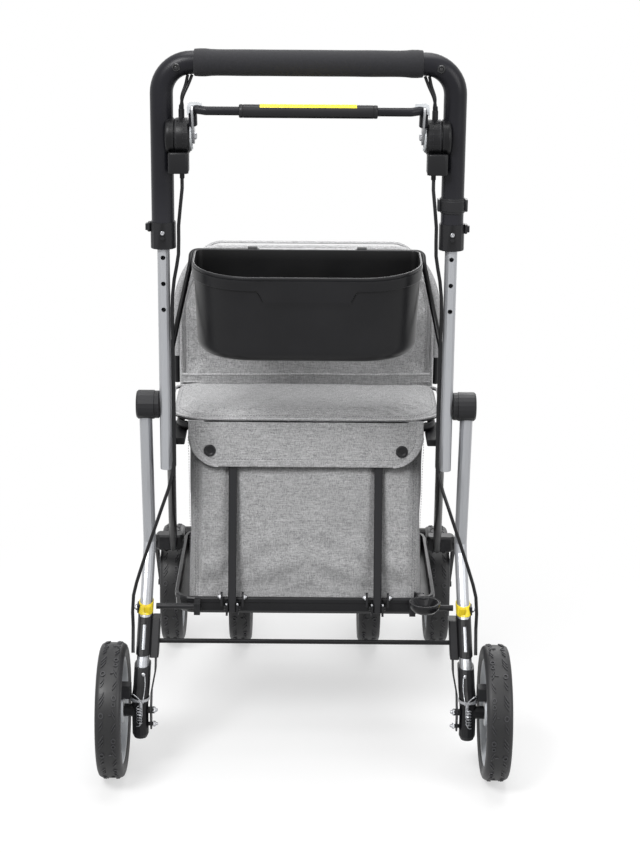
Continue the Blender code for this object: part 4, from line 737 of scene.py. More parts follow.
def make_wheel(name, track, y, side, body):
    bm = bmesh.new()
    draw_tyre(bm, track, y, side)
    for x, r in ((0.0186, 0.0872), (-0.0186, 0.0872)):
        rows = [(x - math.copysign(0.0006, x), r - 0.0014), (x, r - 0.0006), (x, r + 0.0006),
                (x - math.copysign(0.0006, x), r + 0.0014)]
        rings = [circle((side * (track + a), y, AXLE_Z), Y, Z, b, 96) for a, b in rows]
        skin(bm, rings, closed=True)
    finish_mesh(bm, name + "_tread", rubber, body, "rubber", name + "_tyre", sharp=42)

    bm = bmesh.new()
    bore, web = 0.0053, 0.0008
    profile = [(-0.0150, 0.0778), (0.0150, 0.0778), (0.0150, 0.0762), (0.0138, 0.0752),
               (0.0128, 0.0736), (0.0068, 0.0716), (0.0042, 0.0690), (web + 0.0016, 0.0640),
               (web + 0.0008, 0.0460), (web + 0.0014, 0.0280), (web + 0.0040, 0.0225),
               (0.0128, 0.0176), (0.0146, 0.0164), (0.0150, 0.0150), (0.0150, bore),
               (-0.0150, bore), (-0.0150, 0.0190), (-0.0142, 0.0195), (-0.0050, 0.0195),
               (-0.0040, 0.0215), (-0.0036, 0.0460), (-0.0040, 0.0650), (-0.0066, 0.0700),
               (-0.0128, 0.0728), (-0.0142, 0.0740), (-0.0150, 0.0758)]
    lathe_x(bm, [(track + x, r) for x, r in profile], y, AXLE_Z, side, 96)
    for k in range(5):
        turn = TAU * k / 5 + 0.3
        for face in (1, -1):
            rings = []
            for r, w, h in ((0.020, 0.0042, 0.0064), (0.045, 0.0036, 0.0040),
                            (0.0700, 0.0050, 0.0052)):
                out = Vector((0, math.cos(turn), math.sin(turn)))
                along = Vector((0, -math.sin(turn), math.cos(turn)))
                centre = Vector((side * (track + face * 0.0005 - 0.0010), y, AXLE_Z)) + out * r
                lift = X * side * face * h
                rings.append([centre - along * w, centre - along * w * 0.7 + lift,
                              centre + along * w * 0.7 + lift, centre + along * w])
            skin(bm, rings)
    finish_mesh(bm, name + "_dish", pale_grey, body, "light_grey_plastic", name + "_rim", sharp=35)


def make_inner_wheel(name, side, body):
    bm = bmesh.new()
    draw_tyre(bm, INNER_TRACK, FRONT_Y, side)
    disc = [(0.0152, 0.0784), (0.0150, 0.0762), (0.0132, 0.0740), (0.0072, 0.0715),
            (0.0056, 0.0640), (0.0060, 0.0300), (0.0088, 0.0200), (0.0146, 0.0160),
            (0.0152, 0.0148), (0.0152, 0.0053)]
    profile = disc + [(-x, r) for x, r in reversed(disc)]
    lathe_x(bm, [(INNER_TRACK + x, r) for x, r in profile], FRONT_Y, AXLE_Z, side, 96, index=1)
    finish_mesh(bm, name + "_dressed", [rubber, pale_grey], body, "rubber", name, sharp=42)


for side_name, side in SIDES:
    for end, track, y in (("rear_wheel_", REAR_TRACK, REAR_Y),
                          ("front_wheel_", FRONT_TRACK, FRONT_Y)):
        make_wheel(end + side_name, track, y, side, "spin_" + end + side_name)
    make_inner_wheel("inner_wheel_" + side_name, side, "spin_inner_wheel_" + side_name)


# Bin
def make_bin():
    low, top, half, rise = 0.6095, 0.735, 0.165, 0.009
    near, far = -0.206, -0.056
    wall, foot, corner_steps = 0.0016, 0.018, 16

    def band_height(point, z):
        """The raised band under the rim, with its stepped tab at the middle of the near side."""
        edge = 0.7150
        if point.y < -0.190:
            edge -= 0.0210 * (1 - step(0.0560, 0.0720, abs(point.x)))
        return step(edge - 0.0006, edge + 0.0006, z)

    def outline(z, inset, band=False):
        """The bin's outline, which narrows downwards and rises towards its far side."""
        down = (top - z) / (top - low)
        d = inset + 0.006 * down
        x0, x1, y0, y1 = -half + d, half - d, near + d, far - d
        near_r, far_r = 0.090 - d, max(0.014 - d, 0.002)
        corners = ((x1 - far_r, y1 - far_r, far_r), (x0 + far_r, y1 - far_r, far_r),
                   (x0 + near_r, y0 + near_r, near_r), (x1 - near_r, y0 + near_r, near_r))
        arcs = []
        for quarter, (cx, cy, r) in enumerate(corners):
            outs = [Vector((u, v, 0)) for u, v in quarter_arc(0, 0, 1, 1, quarter, corner_steps)]
            arcs.append([(Vector((cx, cy, z)) + out * r, out) for out in outs])
        found = []
        for arc, after, count in zip(arcs, arcs[1:] + arcs[:1], (40, 10, 110, 10)):
            found += arc
            end, start, out = arc[-1][0], after[0][0], after[0][1]
            found += [(end.lerp(start, i / count), out) for i in range(1, count)]
        points = []
        for point, out in found:
            if band:
                point = point + out * 0.0024 * band_height(point, z)
            points.append(point + Z * (rise * (1 - down) * (point.y - near) / (far - near)))
        return points

    bm = bmesh.new()
    levels = []
    for i in range(9):
        turn = math.pi / 2 * i / 8
        levels.append((low + foot * (1 - math.cos(turn)), wall + foot * (1 - math.sin(turn))))
    z = low + foot + 0.006
    for limit, pitch in ((0.694, 0.006), (0.7250, 0.00075)):
        while z < limit:
            levels.append((z, wall))
            z += pitch
    rings = [outline(z, inset, True) for z, inset in levels + [(0.7270, wall), (0.7300, 0.0015)]]
    rim = ((0.7306, 0.0002), (0.7312, -0.0002), (0.7340, -0.0003), (0.7348, 0.0003),
           (0.7352, 0.0012), (0.7352, 0.0020), (0.7348, 0.0028), (0.7338, 0.0032))
    inside = ((0.720, 0.0033), (0.690, 0.0033), (0.660, 0.0033), (low + 0.021, 0.0038),
              (low + 0.012, 0.0066), (low + 0.0065, 0.0110), (low + 0.0040, 0.0160),
              (low + 0.0034, 0.0210))
    skin(bm, rings + [outline(z, inset) for z, inset in rim + inside])
    bm.normal_update()
    # Faces that look into the bin, and its floor, take the darker copy: painted shade.
    for face in bm.faces:
        spot, heading = face.calc_center_median(), face.normal
        inward = heading.x * spot.x + heading.y * (spot.y - (near + far) / 2) < -0.001
        if spot.z < 0.7395 and (inward or heading.z > 0.7 and spot.z < 0.66):
            face.material_index = 1

    outer, inner = 0.0072, 0.0047
    over = [math.pi * i / 16 for i in range(17)]
    back = [math.pi * (1 - i / 16) for i in range(17)]
    line = [(RAIL_Y + outer * math.cos(a), RAIL_Z + outer * math.sin(a)) for a in over]
    line += [(RAIL_Y - outer, 0.733), (RAIL_Y - inner, 0.733)]
    line += [(RAIL_Y + inner * math.cos(a), RAIL_Z + inner * math.sin(a)) for a in back]
    line += [(RAIL_Y + inner, 0.736), (RAIL_Y + outer, 0.736)]
    for side in (-1, 1):
        skin(bm, [[Vector((side * 0.080 + x, y, z)) for y, z in line]
                  for x in (-0.0070, -0.0066, 0.0066, 0.0070)])
    finish_mesh(bm, "bin_shell", [satin, painted_shade_inside], "bin_body", "satin_plastic", "bin", sharp=38)


make_bin()


# Bent tubes
def shoulders(inset, y, count=12):
    """The upper bag's two oval shoulders, from the right foot of one to the other's."""
    wide, tall = 0.062 - inset, 0.100 - inset
    arcs = [quarter_arc(side * 0.136, 0.606, wide, tall, quarter, count)
            for side, quarter in ((1, 0), (-1, 1))]
    return [Vector((x, y, z)) for x, z in arcs[0] + arcs[1]]


def arch(inset, y):
    """The upper bag's outline at this y, drawn in by the inset."""
    found = shoulders(inset, y)
    foot = max(0.014 - inset, 0.002)
    for side, quarter in ((-1, 2), (1, 3)):
        cx, cz = side * (UPPER_HALF - inset - foot), UPPER_LOW + inset + foot
        found += [Vector((x, y, z)) for x, z in quarter_arc(cx, cz, foot, foot, quarter, 12)]
    return found


def dense(points, most=0.004, loop=True):
    """The run with extra points, so that none are further apart than most."""
    found = []
    total = len(points)
    for i in range(total if loop else total - 1):
        a, b = points[i], points[(i + 1) % total]
        count = max(1, math.ceil((b - a).length / most))
        found.extend(a.lerp(b, k / count) for k in range(count))
    if not loop:
        found.append(points[-1])
    return found


def make_tubes():
    side_run = [(0.1935, -0.141, 0.4823), (0.1935, -0.141, 0.618), (0.1695, -0.0732, 0.728),
                (0.1695, RAIL_Y, RAIL_Z), (0.1195, RAIL_Y, RAIL_Z)]
    run = bent(side_run + mirrored(side_run), 0.024, 8)
    pipe("rail_tube", run, 0.0039, coat, "frame", "black_coat", "bin_rail", count=20)

    bm = bmesh.new()
    pieces = 60
    sleeve, flange = [], []
    for i in range(pieces + 1):
        x = -0.0705 + 0.141 * i / pieces
        pucker = 0.0002 * noise.noise(Vector((x * 90, 1.5, 0)))
        r = 0.0050 + pucker + (0.0003 if i in (1, pieces - 1) else 0)
        sleeve.append((x, 0.0042 if i in (0, pieces) else r))
        x = -0.0700 + 0.140 * i / pieces
        y = RAIL_Y + 0.0005 * math.sin(x * 60)
        corners = ((-0.0008, 0.7365), (0.0008, 0.7365), (0.0008, 0.7285), (-0.0008, 0.7285))
        flange.append([Vector((x, y + out, z)) for out, z in corners])
    lathe_x(bm, sleeve, RAIL_Y, RAIL_Z, 1, 20, closed=False)
    skin(bm, flange)
    finish_mesh(bm, "rail_cover", cloth_trim, "frame", "grey_cloth")

    half, z = 0.1875, 0.4827
    ring = rounded_rectangle(-half, half, -0.093, 0.074, z, 0.030, steps=10)
    pipe("seat_frame_tube", ring, 0.0059, coat, "frame", "black_coat", "seat_tube",
         count=20, loop=True)

    tube_x, y, low = 0.2026, 0.106, 0.4964
    feet = [Vector((side * tube_x, y, low)) for side in (1, -1)]
    run = dense(feet[:1] + shoulders(-0.0046, y, 16) + feet[1:], 0.012, loop=False)
    pipe("hoop_tube", run, 0.0039, coat, "frame", "black_coat", "back_hoop", count=20)
    sleeve = [p for p in run if p.z > 0.530]
    pipe("hoop_sleeve", sleeve, 0.0062, cloth_trim, "frame", "grey_cloth", count=20)


make_tubes()


# Sewn goods
def stitches(bm, run, off):
    """A line of thread stitches along the run; off points away from the cloth."""
    pitch, length, width, height = 0.0042, 0.0029, 0.0007, 0.0005
    run = [Vector(p) for p in run]
    done, due = 0.0, pitch / 2
    for a, b in zip(run, run[1:]):
        span = (b - a).length
        while span > 0 and due <= done + span:
            ahead = (b - a) / span
            spot = a + ahead * (due - done)
            up = (off - ahead * off.dot(ahead)).normalized()
            side = ahead.cross(up)
            rings = []
            for t, shrink in ((-0.5, 0.35), (-0.32, 1.0), (0.32, 1.0), (0.5, 0.35)):
                centre = spot + ahead * t * length
                wide, narrow = side * width * shrink / 2, side * width * shrink * 0.4
                sunk, proud = up * height * 0.6, up * height * shrink * 0.6
                rings.append([centre + wide - sunk, centre + narrow + proud,
                              centre - narrow + proud, centre - wide - sunk])
            skin(bm, rings)
            due += pitch
        done += span


def stitch_parts(bm, run, off):
    """Stitches the run's unbroken parts, and leaves out any jump between two of them."""
    parts = [[run[0]]]
    for a, b in zip(run, run[1:]):
        if (b - a).length > 0.02:
            parts.append([])
        parts[-1].append(b)
    for part in parts:
        if len(part) > 2:
            stitches(bm, part, off)


def ribbon(bm, run, off, half, lift):
    """A flat strip of cloth laid along the run, with rolled edges."""
    rings = []
    for i, point in enumerate(run):
        ahead = heading_at(run, i)
        up = (off - ahead * off.dot(ahead)).normalized()
        wide = ahead.cross(up) * half
        sunk, edge, top = up * 0.0006, up * lift * 0.6, up * lift
        rings.append([point + wide - sunk, point + wide + edge, point + wide * 0.75 + top,
                      point - wide * 0.75 + top, point - wide + edge, point - wide - sunk])
    skin(bm, rings)


def puff(made, voxel, pressure, limit, pin):
    """Remeshes the piece evenly and lets a cloth simulation fill it, within the limit's space."""
    even = made.modifiers.new("even", "REMESH")
    even.mode = "VOXEL"
    even.voxel_size = voxel
    graph = bpy.context.evaluated_depsgraph_get()
    looks = list(made.data.materials)
    data = bpy.data.meshes.new_from_object(made.evaluated_get(graph))
    made.modifiers.clear()
    made.data = data
    data.materials.clear()
    for look in looks:
        data.materials.append(look)
    start = [v.co.copy() for v in data.vertices]
    group = made.vertex_groups.new(name="pinned")
    for v in data.vertices:
        weight = pin(v.co)
        if weight > 0:
            group.add([v.index], weight, "REPLACE")
    press = made.modifiers.new("press", "CLOTH")
    settings = press.settings
    settings.quality = 6
    settings.use_pressure = True
    settings.uniform_pressure_force = pressure
    settings.effector_weights.gravity = 0
    settings.tension_stiffness = settings.compression_stiffness = 14
    settings.shear_stiffness = 5
    settings.bending_stiffness = 0.4
    settings.vertex_group_mass = "pinned"
    scene = bpy.context.scene
    for now in range(1, 21):
        scene.frame_set(now)
    graph = bpy.context.evaluated_depsgraph_get()
    moved = [v.co.copy() for v in made.evaluated_get(graph).data.vertices]
    made.modifiers.clear()
    made.vertex_groups.clear()
    scene.frame_set(1)
    for v, a, b in zip(data.vertices, start, moved):
        v.co = limit(a, b)
    fine = made.modifiers.new("fine", "SUBSURF")
    fine.levels = fine.render_levels = 1
    graph = bpy.context.evaluated_depsgraph_get()
    smooth = bpy.data.meshes.new_from_object(made.evaluated_get(graph))
    made.modifiers.clear()
    made.data = smooth
    smooth.shade_smooth()
    return smooth


def capped(a, b, most):
    """b, brought back to within most of a."""
    move = b - a
    if move.length > most:
        move *= most / move.length
    return a + move


def boxed(point, low, high):
    """The point, brought back into the box."""
    return Vector([min(max(value, a), b) for value, a, b in zip(point, low, high)])


def folds(x, z, level):
    """Soft creases: ridges that lean and fade, from about -1 to 1. Each level has its own."""
    a = noise.noise(Vector((x * 9 + z * 5, z * 16 - x * 4, level)))
    b = noise.noise(Vector((x * 26 - z * 13, z * 22 + x * 9, level + 7)))
    ridge = 1 - abs(noise.noise(Vector((x * 13 + z * 11, z * 9, level + 3)))) * 4
    return 0.55 * a + 0.22 * b + 0.3 * max(ridge, 0)


def bag_along(z):
    """0 at the lower bag's floor and 1 at its top."""
    return (z - BAG_FLOOR) / (BAG_TOP - BAG_FLOOR)


def bag_lean(z):
    """The y of the lower bag's plain near panel."""
    return BAG_NEAR_LOW + bag_along(z) * BAG_NEAR_LEAN


def bag_near(x, z):
    """The y of the lower bag's near panel: it swells between the struts and hangs in creases."""
    beside = abs(abs(x) - STRUT_X)
    tuck = 1 - 0.75 * math.exp(-(beside / 0.011) ** 2)
    edge = 1 - step(0.150, 0.170, abs(x))
    swell = 0.0065 * step(0.242, 0.290, z) * (1 - 0.75 * step(0.43, 0.474, z)) * tuck * edge
    above_floor, below_top = step(0.236, 0.262, z), 1 - 0.6 * step(0.38, 0.46, z)
    crease = folds(x, z, 2.0) * 0.0024 * above_floor * below_top * edge
    low = step(0.236, 0.26, z) * (1 - step(0.29, 0.36, z)) * edge
    drift = 1.2 * noise.noise(Vector((x * 8, z * 8, 4)))
    crease += low * 0.0011 * math.sin(abs(x) * 70 + z * 130 + drift)
    crease *= tuck
    seam = 0.0
    for line in (0.1600, 0.1640):
        seam -= 0.0007 * math.exp(-((abs(x) - line) / 0.0011) ** 2)
    behind_flap = flap_y(z) + 0.0022 if z > 0.38 else -1.0
    return max(bag_lean(z) - swell - crease - seam, behind_flap)


def bag_side(y, z, side):
    """The x of the lower bag's side, which sags inwards."""
    sag = 0.0022 * math.sin(math.pi * bag_along(z)) ** 2 + 0.0018 * folds(y * 1.2, z, 11.0 + side)
    held = step(0.236, 0.27, z) * (1 - step(0.45, 0.476, z) * 0.7)
    return side * (BAG_HALF - 0.0012 - max(sag * held, 0))


def make_lower_bag():
    near_steps, side_steps, far_steps, corner_steps = 150, 40, 20, 6
    far, r = BAG_FAR, BAG_CORNER
    centre_x = BAG_HALF - r

    def sag(x, y, z):
        side = 1 if x > 0 else -1
        return bag_side(y, z, side) - side * BAG_HALF

    def ring(z, inset):
        near = bag_lean(z)
        found = []
        for i in range(near_steps + 1):
            x = -centre_x + 2 * centre_x * i / near_steps
            found.append(Vector((x, bag_near(x, z) + inset, z)))
        for cx, cy, start in ((centre_x, near + r, 3), (centre_x, far - r, 0),
                              (-centre_x, far - r, 1), (-centre_x, near + r, 2)):
            reach = r - inset
            arc = quarter_arc(cx, cy, reach, reach, start, corner_steps)
            for x, y in arc[1:-1] if start == 2 else arc[1:]:
                keep = step(0.166, BAG_HALF, abs(x))
                found.append(Vector((x + sag(x, y, z) * keep, y, z)))
            if start in (3, 1):
                a = Vector((cx + math.copysign(reach, cx), cy, z))
                b = Vector((a.x, far - r if start == 3 else near + r, z))
                for i in range(1, side_steps):
                    spot = a.lerp(b, i / side_steps)
                    spot.x += sag(spot.x, spot.y, z)
                    found.append(spot)
            if start == 0:
                a, b = Vector((centre_x, far - inset, z)), Vector((-centre_x, far - inset, z))
                found += [a.lerp(b, i / far_steps) for i in range(1, far_steps)]
        return found

    bm = bmesh.new()
    rings = []
    for i in range(63):
        z = BAG_FLOOR + (BAG_TOP - BAG_FLOOR) * i / 62
        rings.append(ring(z, 0.0008 + 0.0030 * math.exp(-((z - BAG_FLOOR) / 0.003) ** 2)))
    rings.append(ring(BAG_TOP, 0.0022))
    for i in range(16):
        rings.append(ring(BAG_TOP - (BAG_TOP - BAG_FLOOR - 0.004) * i / 15, 0.0042))
    skin(bm, rings)
    finish_mesh(bm, "bag_cloth", cloth, "frame", "grey_cloth", "bag_lower", sharp=70)

    bm = bmesh.new()
    for side in (-1, 1):
        for line in (0.1600, 0.1642):
            x, heights = side * line, [0.222 + (0.470 - 0.222) * i / 89 for i in range(90)]
            stitches(bm, [(x, bag_near(x, z) + 0.0008, z) for z in heights], -Y)
        low, heights = 0.226, [0.226 + (0.470 - 0.226) * i / 59 for i in range(60)]
        for y, lean in ((-0.105, 0.04), (0.128, 0)):
            run = [(bag_side(y, z, side), y + lean * (z - low), z) for z in heights]
            stitches(bm, run, X * side)
    finish_mesh(bm, "bag_stitching", thread, "frame", "grey_cloth")


def make_flap():
    """The lid's hanging flap: a bound cloth panel with its two snaps."""
    half, low, high, corner = 0.174, 0.4285, 0.4955, 0.045
    rim = 0.0105
    rows, columns = 76, 150

    def outline(inset):
        found = [Vector((-half + inset, 0, high)), Vector((-half + inset, 0, low + corner))]
        r = corner - inset
        for cx, quarter in ((-half + corner, 2), (half - corner, 3)):
            arc = quarter_arc(cx, low + corner, r, r, quarter, 16)
            found += [Vector((x, 0, z)) for x, z in arc]
        return found + [Vector((half - inset, 0, high))]

    def reach(z):
        """How far the panel reaches sideways at this height."""
        if z >= low + corner:
            return half
        return half - corner + math.sqrt(max(corner**2 - (low + corner - z) ** 2, 0))

    def back(_, z):
        return flap_y(z) - 0.0003

    def front(x, z):
        wave = 0.0009 * folds(x, z * 1.3, 21.0)
        inside = min(reach(z) - abs(x), z - low if abs(x) < half - corner else 1.0)
        band = 0.0011 * (1 - step(rim - 0.0012, rim + 0.0006, inside))
        roll = 0.0012 * (1 - step(0.0, 0.0016, inside))
        snap = 0.0
        for side in (-1, 1):
            snap -= 0.0011 * math.exp(-((math.hypot(x - side * SNAP_X, z - SNAP_Z)) / 0.013) ** 2)
        return flap_y(z) - 0.0024 - band + roll - wave - snap

    def grid(depth):
        found = []
        for j in range(rows + 1):
            z = low + 0.0003 + (high - low - 0.0003) * j / rows
            z = low + 0.0003 + (z - low - 0.0003) * (0.55 + 0.45 * (j / rows))
            row = []
            for i in range(columns + 1):
                t = -1 + 2 * i / columns
                x = reach(z) * math.copysign(1 - (1 - abs(t)) ** 1.25, t)
                row.append(bm.verts.new(Vector((x, depth(x, z), z))))
            found.append(row)
        for a, b in zip(found, found[1:]):
            for i in range(columns):
                bm.faces.new((a[i], a[i + 1], b[i + 1], b[i]))
        return found

    def border(grid):
        right, left = [row[-1] for row in grid[1:]], [row[0] for row in grid[-2:0:-1]]
        return grid[0] + right + grid[-1][-2::-1] + left

    bm = bmesh.new()
    near, far = border(grid(front)), border(grid(back))
    for i, point in enumerate(near):
        j = (i + 1) % len(near)
        bm.faces.new((point, near[j], far[j], far[i]))
    flap = finish_mesh(bm, "flap_cloth", cloth, "seat", "grey_cloth", "seat_flap", sharp=70)

    bm = bmesh.new()
    points = outline(rim + 0.0008)
    run = [a.lerp(b, k / 8) for a, b in zip(points, points[1:]) for k in range(8)]
    stitches(bm, [(p.x, front(p.x, p.z), p.z) for p in run], -Y)
    finish_mesh(bm, "flap_stitching", thread, "seat", "grey_cloth")

    bm = bmesh.new()
    lean, lift = 0.24, 0.0004
    tilt, up = Vector((0, -1, lean)).normalized(), Vector((0, lean, 1)).normalized()
    button = ((-0.0004, 0.0086), (0.0008, 0.0090), (0.0016, 0.0086), (0.0021, 0.0074),
              (0.0020, 0.0058), (0.0014, 0.0050), (0.0013, 0.0030), (0.0015, 0.0010))
    for x in (-SNAP_X, SNAP_X):
        profile = [(out + lift, r) for out, r in button]
        turned(bm, (x, front(x, SNAP_Z), SNAP_Z), tilt, profile, X, up, 32)
    snaps = finish_mesh(bm, "flap_snaps", satin, "seat", "black_plastic", sharp=40)


def lid_outline(inset, z):
    """The seat lid's outline with its large near corners."""
    half, near, far = LID_HALF - inset, LID_NEAR + inset, LID_FAR - inset
    radii = [max(r - inset, 0.002) for r in (0.016, 0.016, 0.060, 0.060)]
    return cornered(-half, half, near, far, z, radii, (6, 6, 14, 14))


def make_seat():
    bm = bmesh.new()
    skin(bm, [lid_outline(inset, z) for inset, z in (
        (0.012, 0.4892), (0.0045, 0.4898), (0.0022, 0.4930), (0.0022, 0.4965),
        (0.0050, 0.5010), (0.0120, 0.5035), (0.0260, 0.5046), (0.0450, 0.5052))])
    made = finish_mesh(bm, "seat_cushion", cloth, "seat", "grey_cloth", "seat_lid")

    def pin(p):
        return 1.0 if p.z < 0.4915 else 0.0

    def limit(a, b):
        low, high = (-0.2007, -0.0966, 0.4891), (0.2007, 0.0792, 0.5088)
        return boxed(capped(a, b, 0.0045), low, high)

    data = puff(made, 0.0042, 4.0, limit, pin)
    for v in data.vertices:
        x, y, z = v.co
        if z > 0.497:
            inner = step(0.004, 0.018, min(LID_HALF - abs(x), y - LID_NEAR, LID_FAR - y))
            v.co.z += 0.0009 * folds(x * 0.8, y * 1.2, 31.0) * inner
            crease = (x - 0.02) * 0.30 - (y + 0.045)
            v.co.z -= 0.0011 * math.exp(-(crease / 0.006) ** 2) * step(-0.02, 0.03, x) * inner
    data.update()

    bm = bmesh.new()
    out, z = 0.0022, 0.4976
    draw_tube(bm, dense(lid_outline(-out, z)), 0.0021, 10, loop=True)
    sleeve = [(SEAM_X + x, r) for x, r in ((-0.0022, 0.0022), (-0.0016, 0.0029), (0.0016, 0.0029),
                                           (0.0022, 0.0022))]
    lathe_x(bm, sleeve, LID_NEAR - out, z, 1, 12, closed=False)
    finish_mesh(bm, "seat_piping", cloth_trim, "seat", "grey_cloth")
    # A thin black cord just under the lid's edge: a dark line painted in for the shadow there.
    bm = bmesh.new()
    draw_tube(bm, dense(lid_outline(-0.0034, 0.4944)), 0.0011, 8, loop=True)
    finish_mesh(bm, "seat_edge_painted_shadow", black, "seat", "black_plastic")

    bm = bmesh.new()
    tree = surface_tree(made)
    run = [drop_on(tree, p, -Z) for p in dense(lid_outline(0.0100, 0.530))]
    stitch_parts(bm, [p for p in run if p.y < 0.060], Z)
    finish_mesh(bm, "seat_stitching", thread, "seat", "grey_cloth")


def surface_tree(made):
    data = made.data
    return BVHTree.FromPolygons([v.co for v in data.vertices], [p.vertices for p in data.polygons])


def drop_on(tree, point, heading):
    """Where a ray from the point first meets the surface."""
    hit = tree.ray_cast(Vector(point), heading)[0]
    return Vector(point) if hit is None else hit


def make_upper_bag():
    near, far = UPPER_NEAR, UPPER_FAR
    bm = bmesh.new()
    near_side = ((0.0040, 0.030), (0.0036, 0.012), (0.0046, 0.0050), (0.0090, 0.0028),
                 (0.040, 0.0040))
    rings = [arch(inset, near + deep) for deep, inset in near_side]
    rings += [arch(inset, far - deep) for deep, inset in reversed(near_side)]
    skin(bm, rings)
    made = finish_mesh(bm, "upper_bag_cloth", cloth, "frame", "grey_cloth", "bag_upper")

    def pin(p):
        return 1.0 if p.z < 0.487 else 0.0

    def limit(a, b):
        low, high = (-0.1975, 0.0846, 0.4768), (0.1975, 0.1955, 0.7055)
        return boxed(capped(a, b, 0.0060), low, high)

    data = puff(made, 0.0062, 3.0, limit, pin)
    for v in data.vertices:
        x, y, z = v.co
        inner = step(0.0, 0.03, min(UPPER_HALF - abs(x), z - UPPER_LOW, UPPER_TOP - z))
        if y < near + 0.02:
            v.co.y += 0.0035 * inner * (0.5 + folds(x, z, 41.0)) * step(0.51, 0.54, z)
        elif y > far - 0.02:
            v.co.y -= 0.0050 * inner * (0.5 + folds(x, z, 47.0))
        elif z > 0.67:
            v.co.z -= 0.0022 * (0.5 + folds(x, y * 2, 43.0))
    data.update()

    bm = bmesh.new()
    half, droop = 0.1935, 0.0012
    for y in (near + 0.0030, far - 0.0030):
        draw_tube(bm, dense(arch(0.0030, y)), 0.0022, 10, loop=True)
    for y in (near + 0.0135, far - 0.0135):
        draw_tube(bm, dense(arch(0.0018, y), 0.006), 0.0009, 8, loop=True, flat=0.6)
    for z, r in ((0.5150, 0.0026), (0.5035, 0.0019)):
        run = []
        for i in range(61):
            x = -half + 2 * half * i / 60
            wave = 0.0012 * noise.noise(Vector((x * 12, z * 40, 3)))
            run.append(Vector((x, near + 0.0024, z + wave + droop * (x / 0.19))))
        draw_tube(bm, run, r, 10)
    for x0, x1 in ((-half, -0.0262), (-0.0222, half)):
        across = [x0 + (x1 - x0) * i / 40 for i in range(41)]
        run = [Vector((x, near + 0.0018, 0.5092 + droop * x / 0.19)) for x in across]
        ribbon(bm, run, -Y, 0.0052, 0.0006)
    sleeve = ((-0.0275, 0.0020), (-0.0268, 0.0030), (-0.0222, 0.0030), (-0.0215, 0.0020))
    lathe_x(bm, sleeve, near + 0.0026, 0.5150, 1, 12, closed=False)
    finish_mesh(bm, "upper_bag_piping", cloth_trim, "frame", "grey_cloth")

    bm = bmesh.new()
    tree = surface_tree(made)
    run = [drop_on(tree, p, Y) for p in dense(arch(0.0135, near - 0.02)) if p.z > 0.525]
    stitch_parts(bm, run, -Y)
    finish_mesh(bm, "upper_bag_stitching", thread, "frame", "grey_cloth")


make_lower_bag()
make_flap()
make_seat()
make_upper_bag()


# Small fittings
def dome(bm, spot, out, radius, height, sides=20):
    """A low round screw head that stands out from the spot."""
    out = Vector(out).normalized()
    across = out.cross(Z if abs(out.z) < 0.8 else X).normalized()
    profile = [(height * t, radius * r) for t, r in
               ((-0.3, 1.0), (0.35, 1.0), (0.75, 0.86), (1.0, 0.55), (1.05, 0.2))]
    turned(bm, spot, out, profile, across, out.cross(across), sides)


def leg_band(side, z, extra):
    """A level oval round the rear leg, this much outside its wall."""
    half_x, half_y = LEG_HALF_X + extra, 0.0150 + extra
    found = []
    for i in range(32):
        c, s = math.cos(TAU * i / 32), math.sin(TAU * i / 32)
        found.append(Vector((side * leg_x(z) + half_x * math.copysign(abs(c) ** 0.8, c),
                             leg_y(z) + half_y * math.copysign(abs(s) ** 0.8, s), z)))
    return found


BRAKE_WIRES = (
    ((0.2330, -0.2688, 0.1170), (0.2370, -0.2706, 0.1215), (0.2420, -0.2700, 0.1265),
     (0.2470, -0.2670, 0.1290), (0.2510, -0.2620, 0.1300)),
    ((0.2395, -0.2690, 0.1180), (0.2440, -0.2690, 0.1215), (0.2480, -0.2660, 0.1222),
     (0.2515, -0.2610, 0.1225)),
    ((0.2362, -0.2690, 0.0965), (0.2366, -0.2700, 0.0880), (0.2395, -0.2700, 0.0815),
     (0.2440, -0.2688, 0.0800)),
    ((0.2325, -0.2425, 0.1475), (0.2318, -0.2520, 0.1360), (0.2330, -0.2640, 0.1250),
     (0.2345, -0.2686, 0.1180)),
)


def make_strut_fittings():
    """The ears that flank each strut on the tray, and their bolts."""
    bolt_y, bolt_z, ear_r, ear_low = -0.1520, 0.2375, 0.0070, 0.2240
    outline = [(-0.1450, ear_low), (-0.1450, 0.2330)]
    for i in range(9):
        turn = math.pi * i / 8
        outline.append((bolt_y + ear_r * math.cos(turn), bolt_z + ear_r * math.sin(turn)))
    outline.append((-0.1590, ear_low))
    places = [(side * STRUT_X, edge) for side in (-1, 1) for edge in (-1, 1)]
    bm = bmesh.new()
    for x, edge in places:
        a = x + edge * 0.0142
        skin(bm, [[Vector((at, y, z)) for y, z in outline] for at in (a, a + edge * 0.0030)])
    finish_mesh(bm, "strut_ears", coat, "frame", "black_coat", sharp=30)

    bm = bmesh.new()
    for x, edge in places:
        nut = x + edge * 0.0172
        dome(bm, (nut, -0.1530, bolt_z), (edge, 0, 0), 0.0040, 0.0030, 6)
        dome(bm, (nut + edge * 0.0028, -0.1530, bolt_z), (edge, 0, 0), 0.0024, 0.0020)
        dome(bm, (x + edge * 0.0082, -0.1650, 0.2300), (0, -1, 0.2), 0.0017, 0.0014)
    finish_mesh(bm, "strut_bolts", steel, "frame", "bright_steel", sharp=30)


def make_latch(name, side):
    """The yellow band round the rear leg, with its raised front."""
    bm = bmesh.new()
    skin(bm, [leg_band(side, z, extra) for z, extra in (
        (0.2364, 0.0004), (0.2364, 0.0010), (0.2358, 0.0016), (0.2232, 0.0016),
        (0.2226, 0.0010), (0.2226, 0.0004))], closed=True)
    near = leg_y(LATCH_Z) - 0.0166
    rounded_box(bm, (side * 0.2275, near - 0.0022, 0.2236),
                (side * 0.2372, near + 0.0030, 0.2354), 0.0008)
    finish_mesh(bm, "latch_band_" + name, yellow, "rear_frame", "yellow_plastic",
                "latch_collar_" + name, sharp=35)


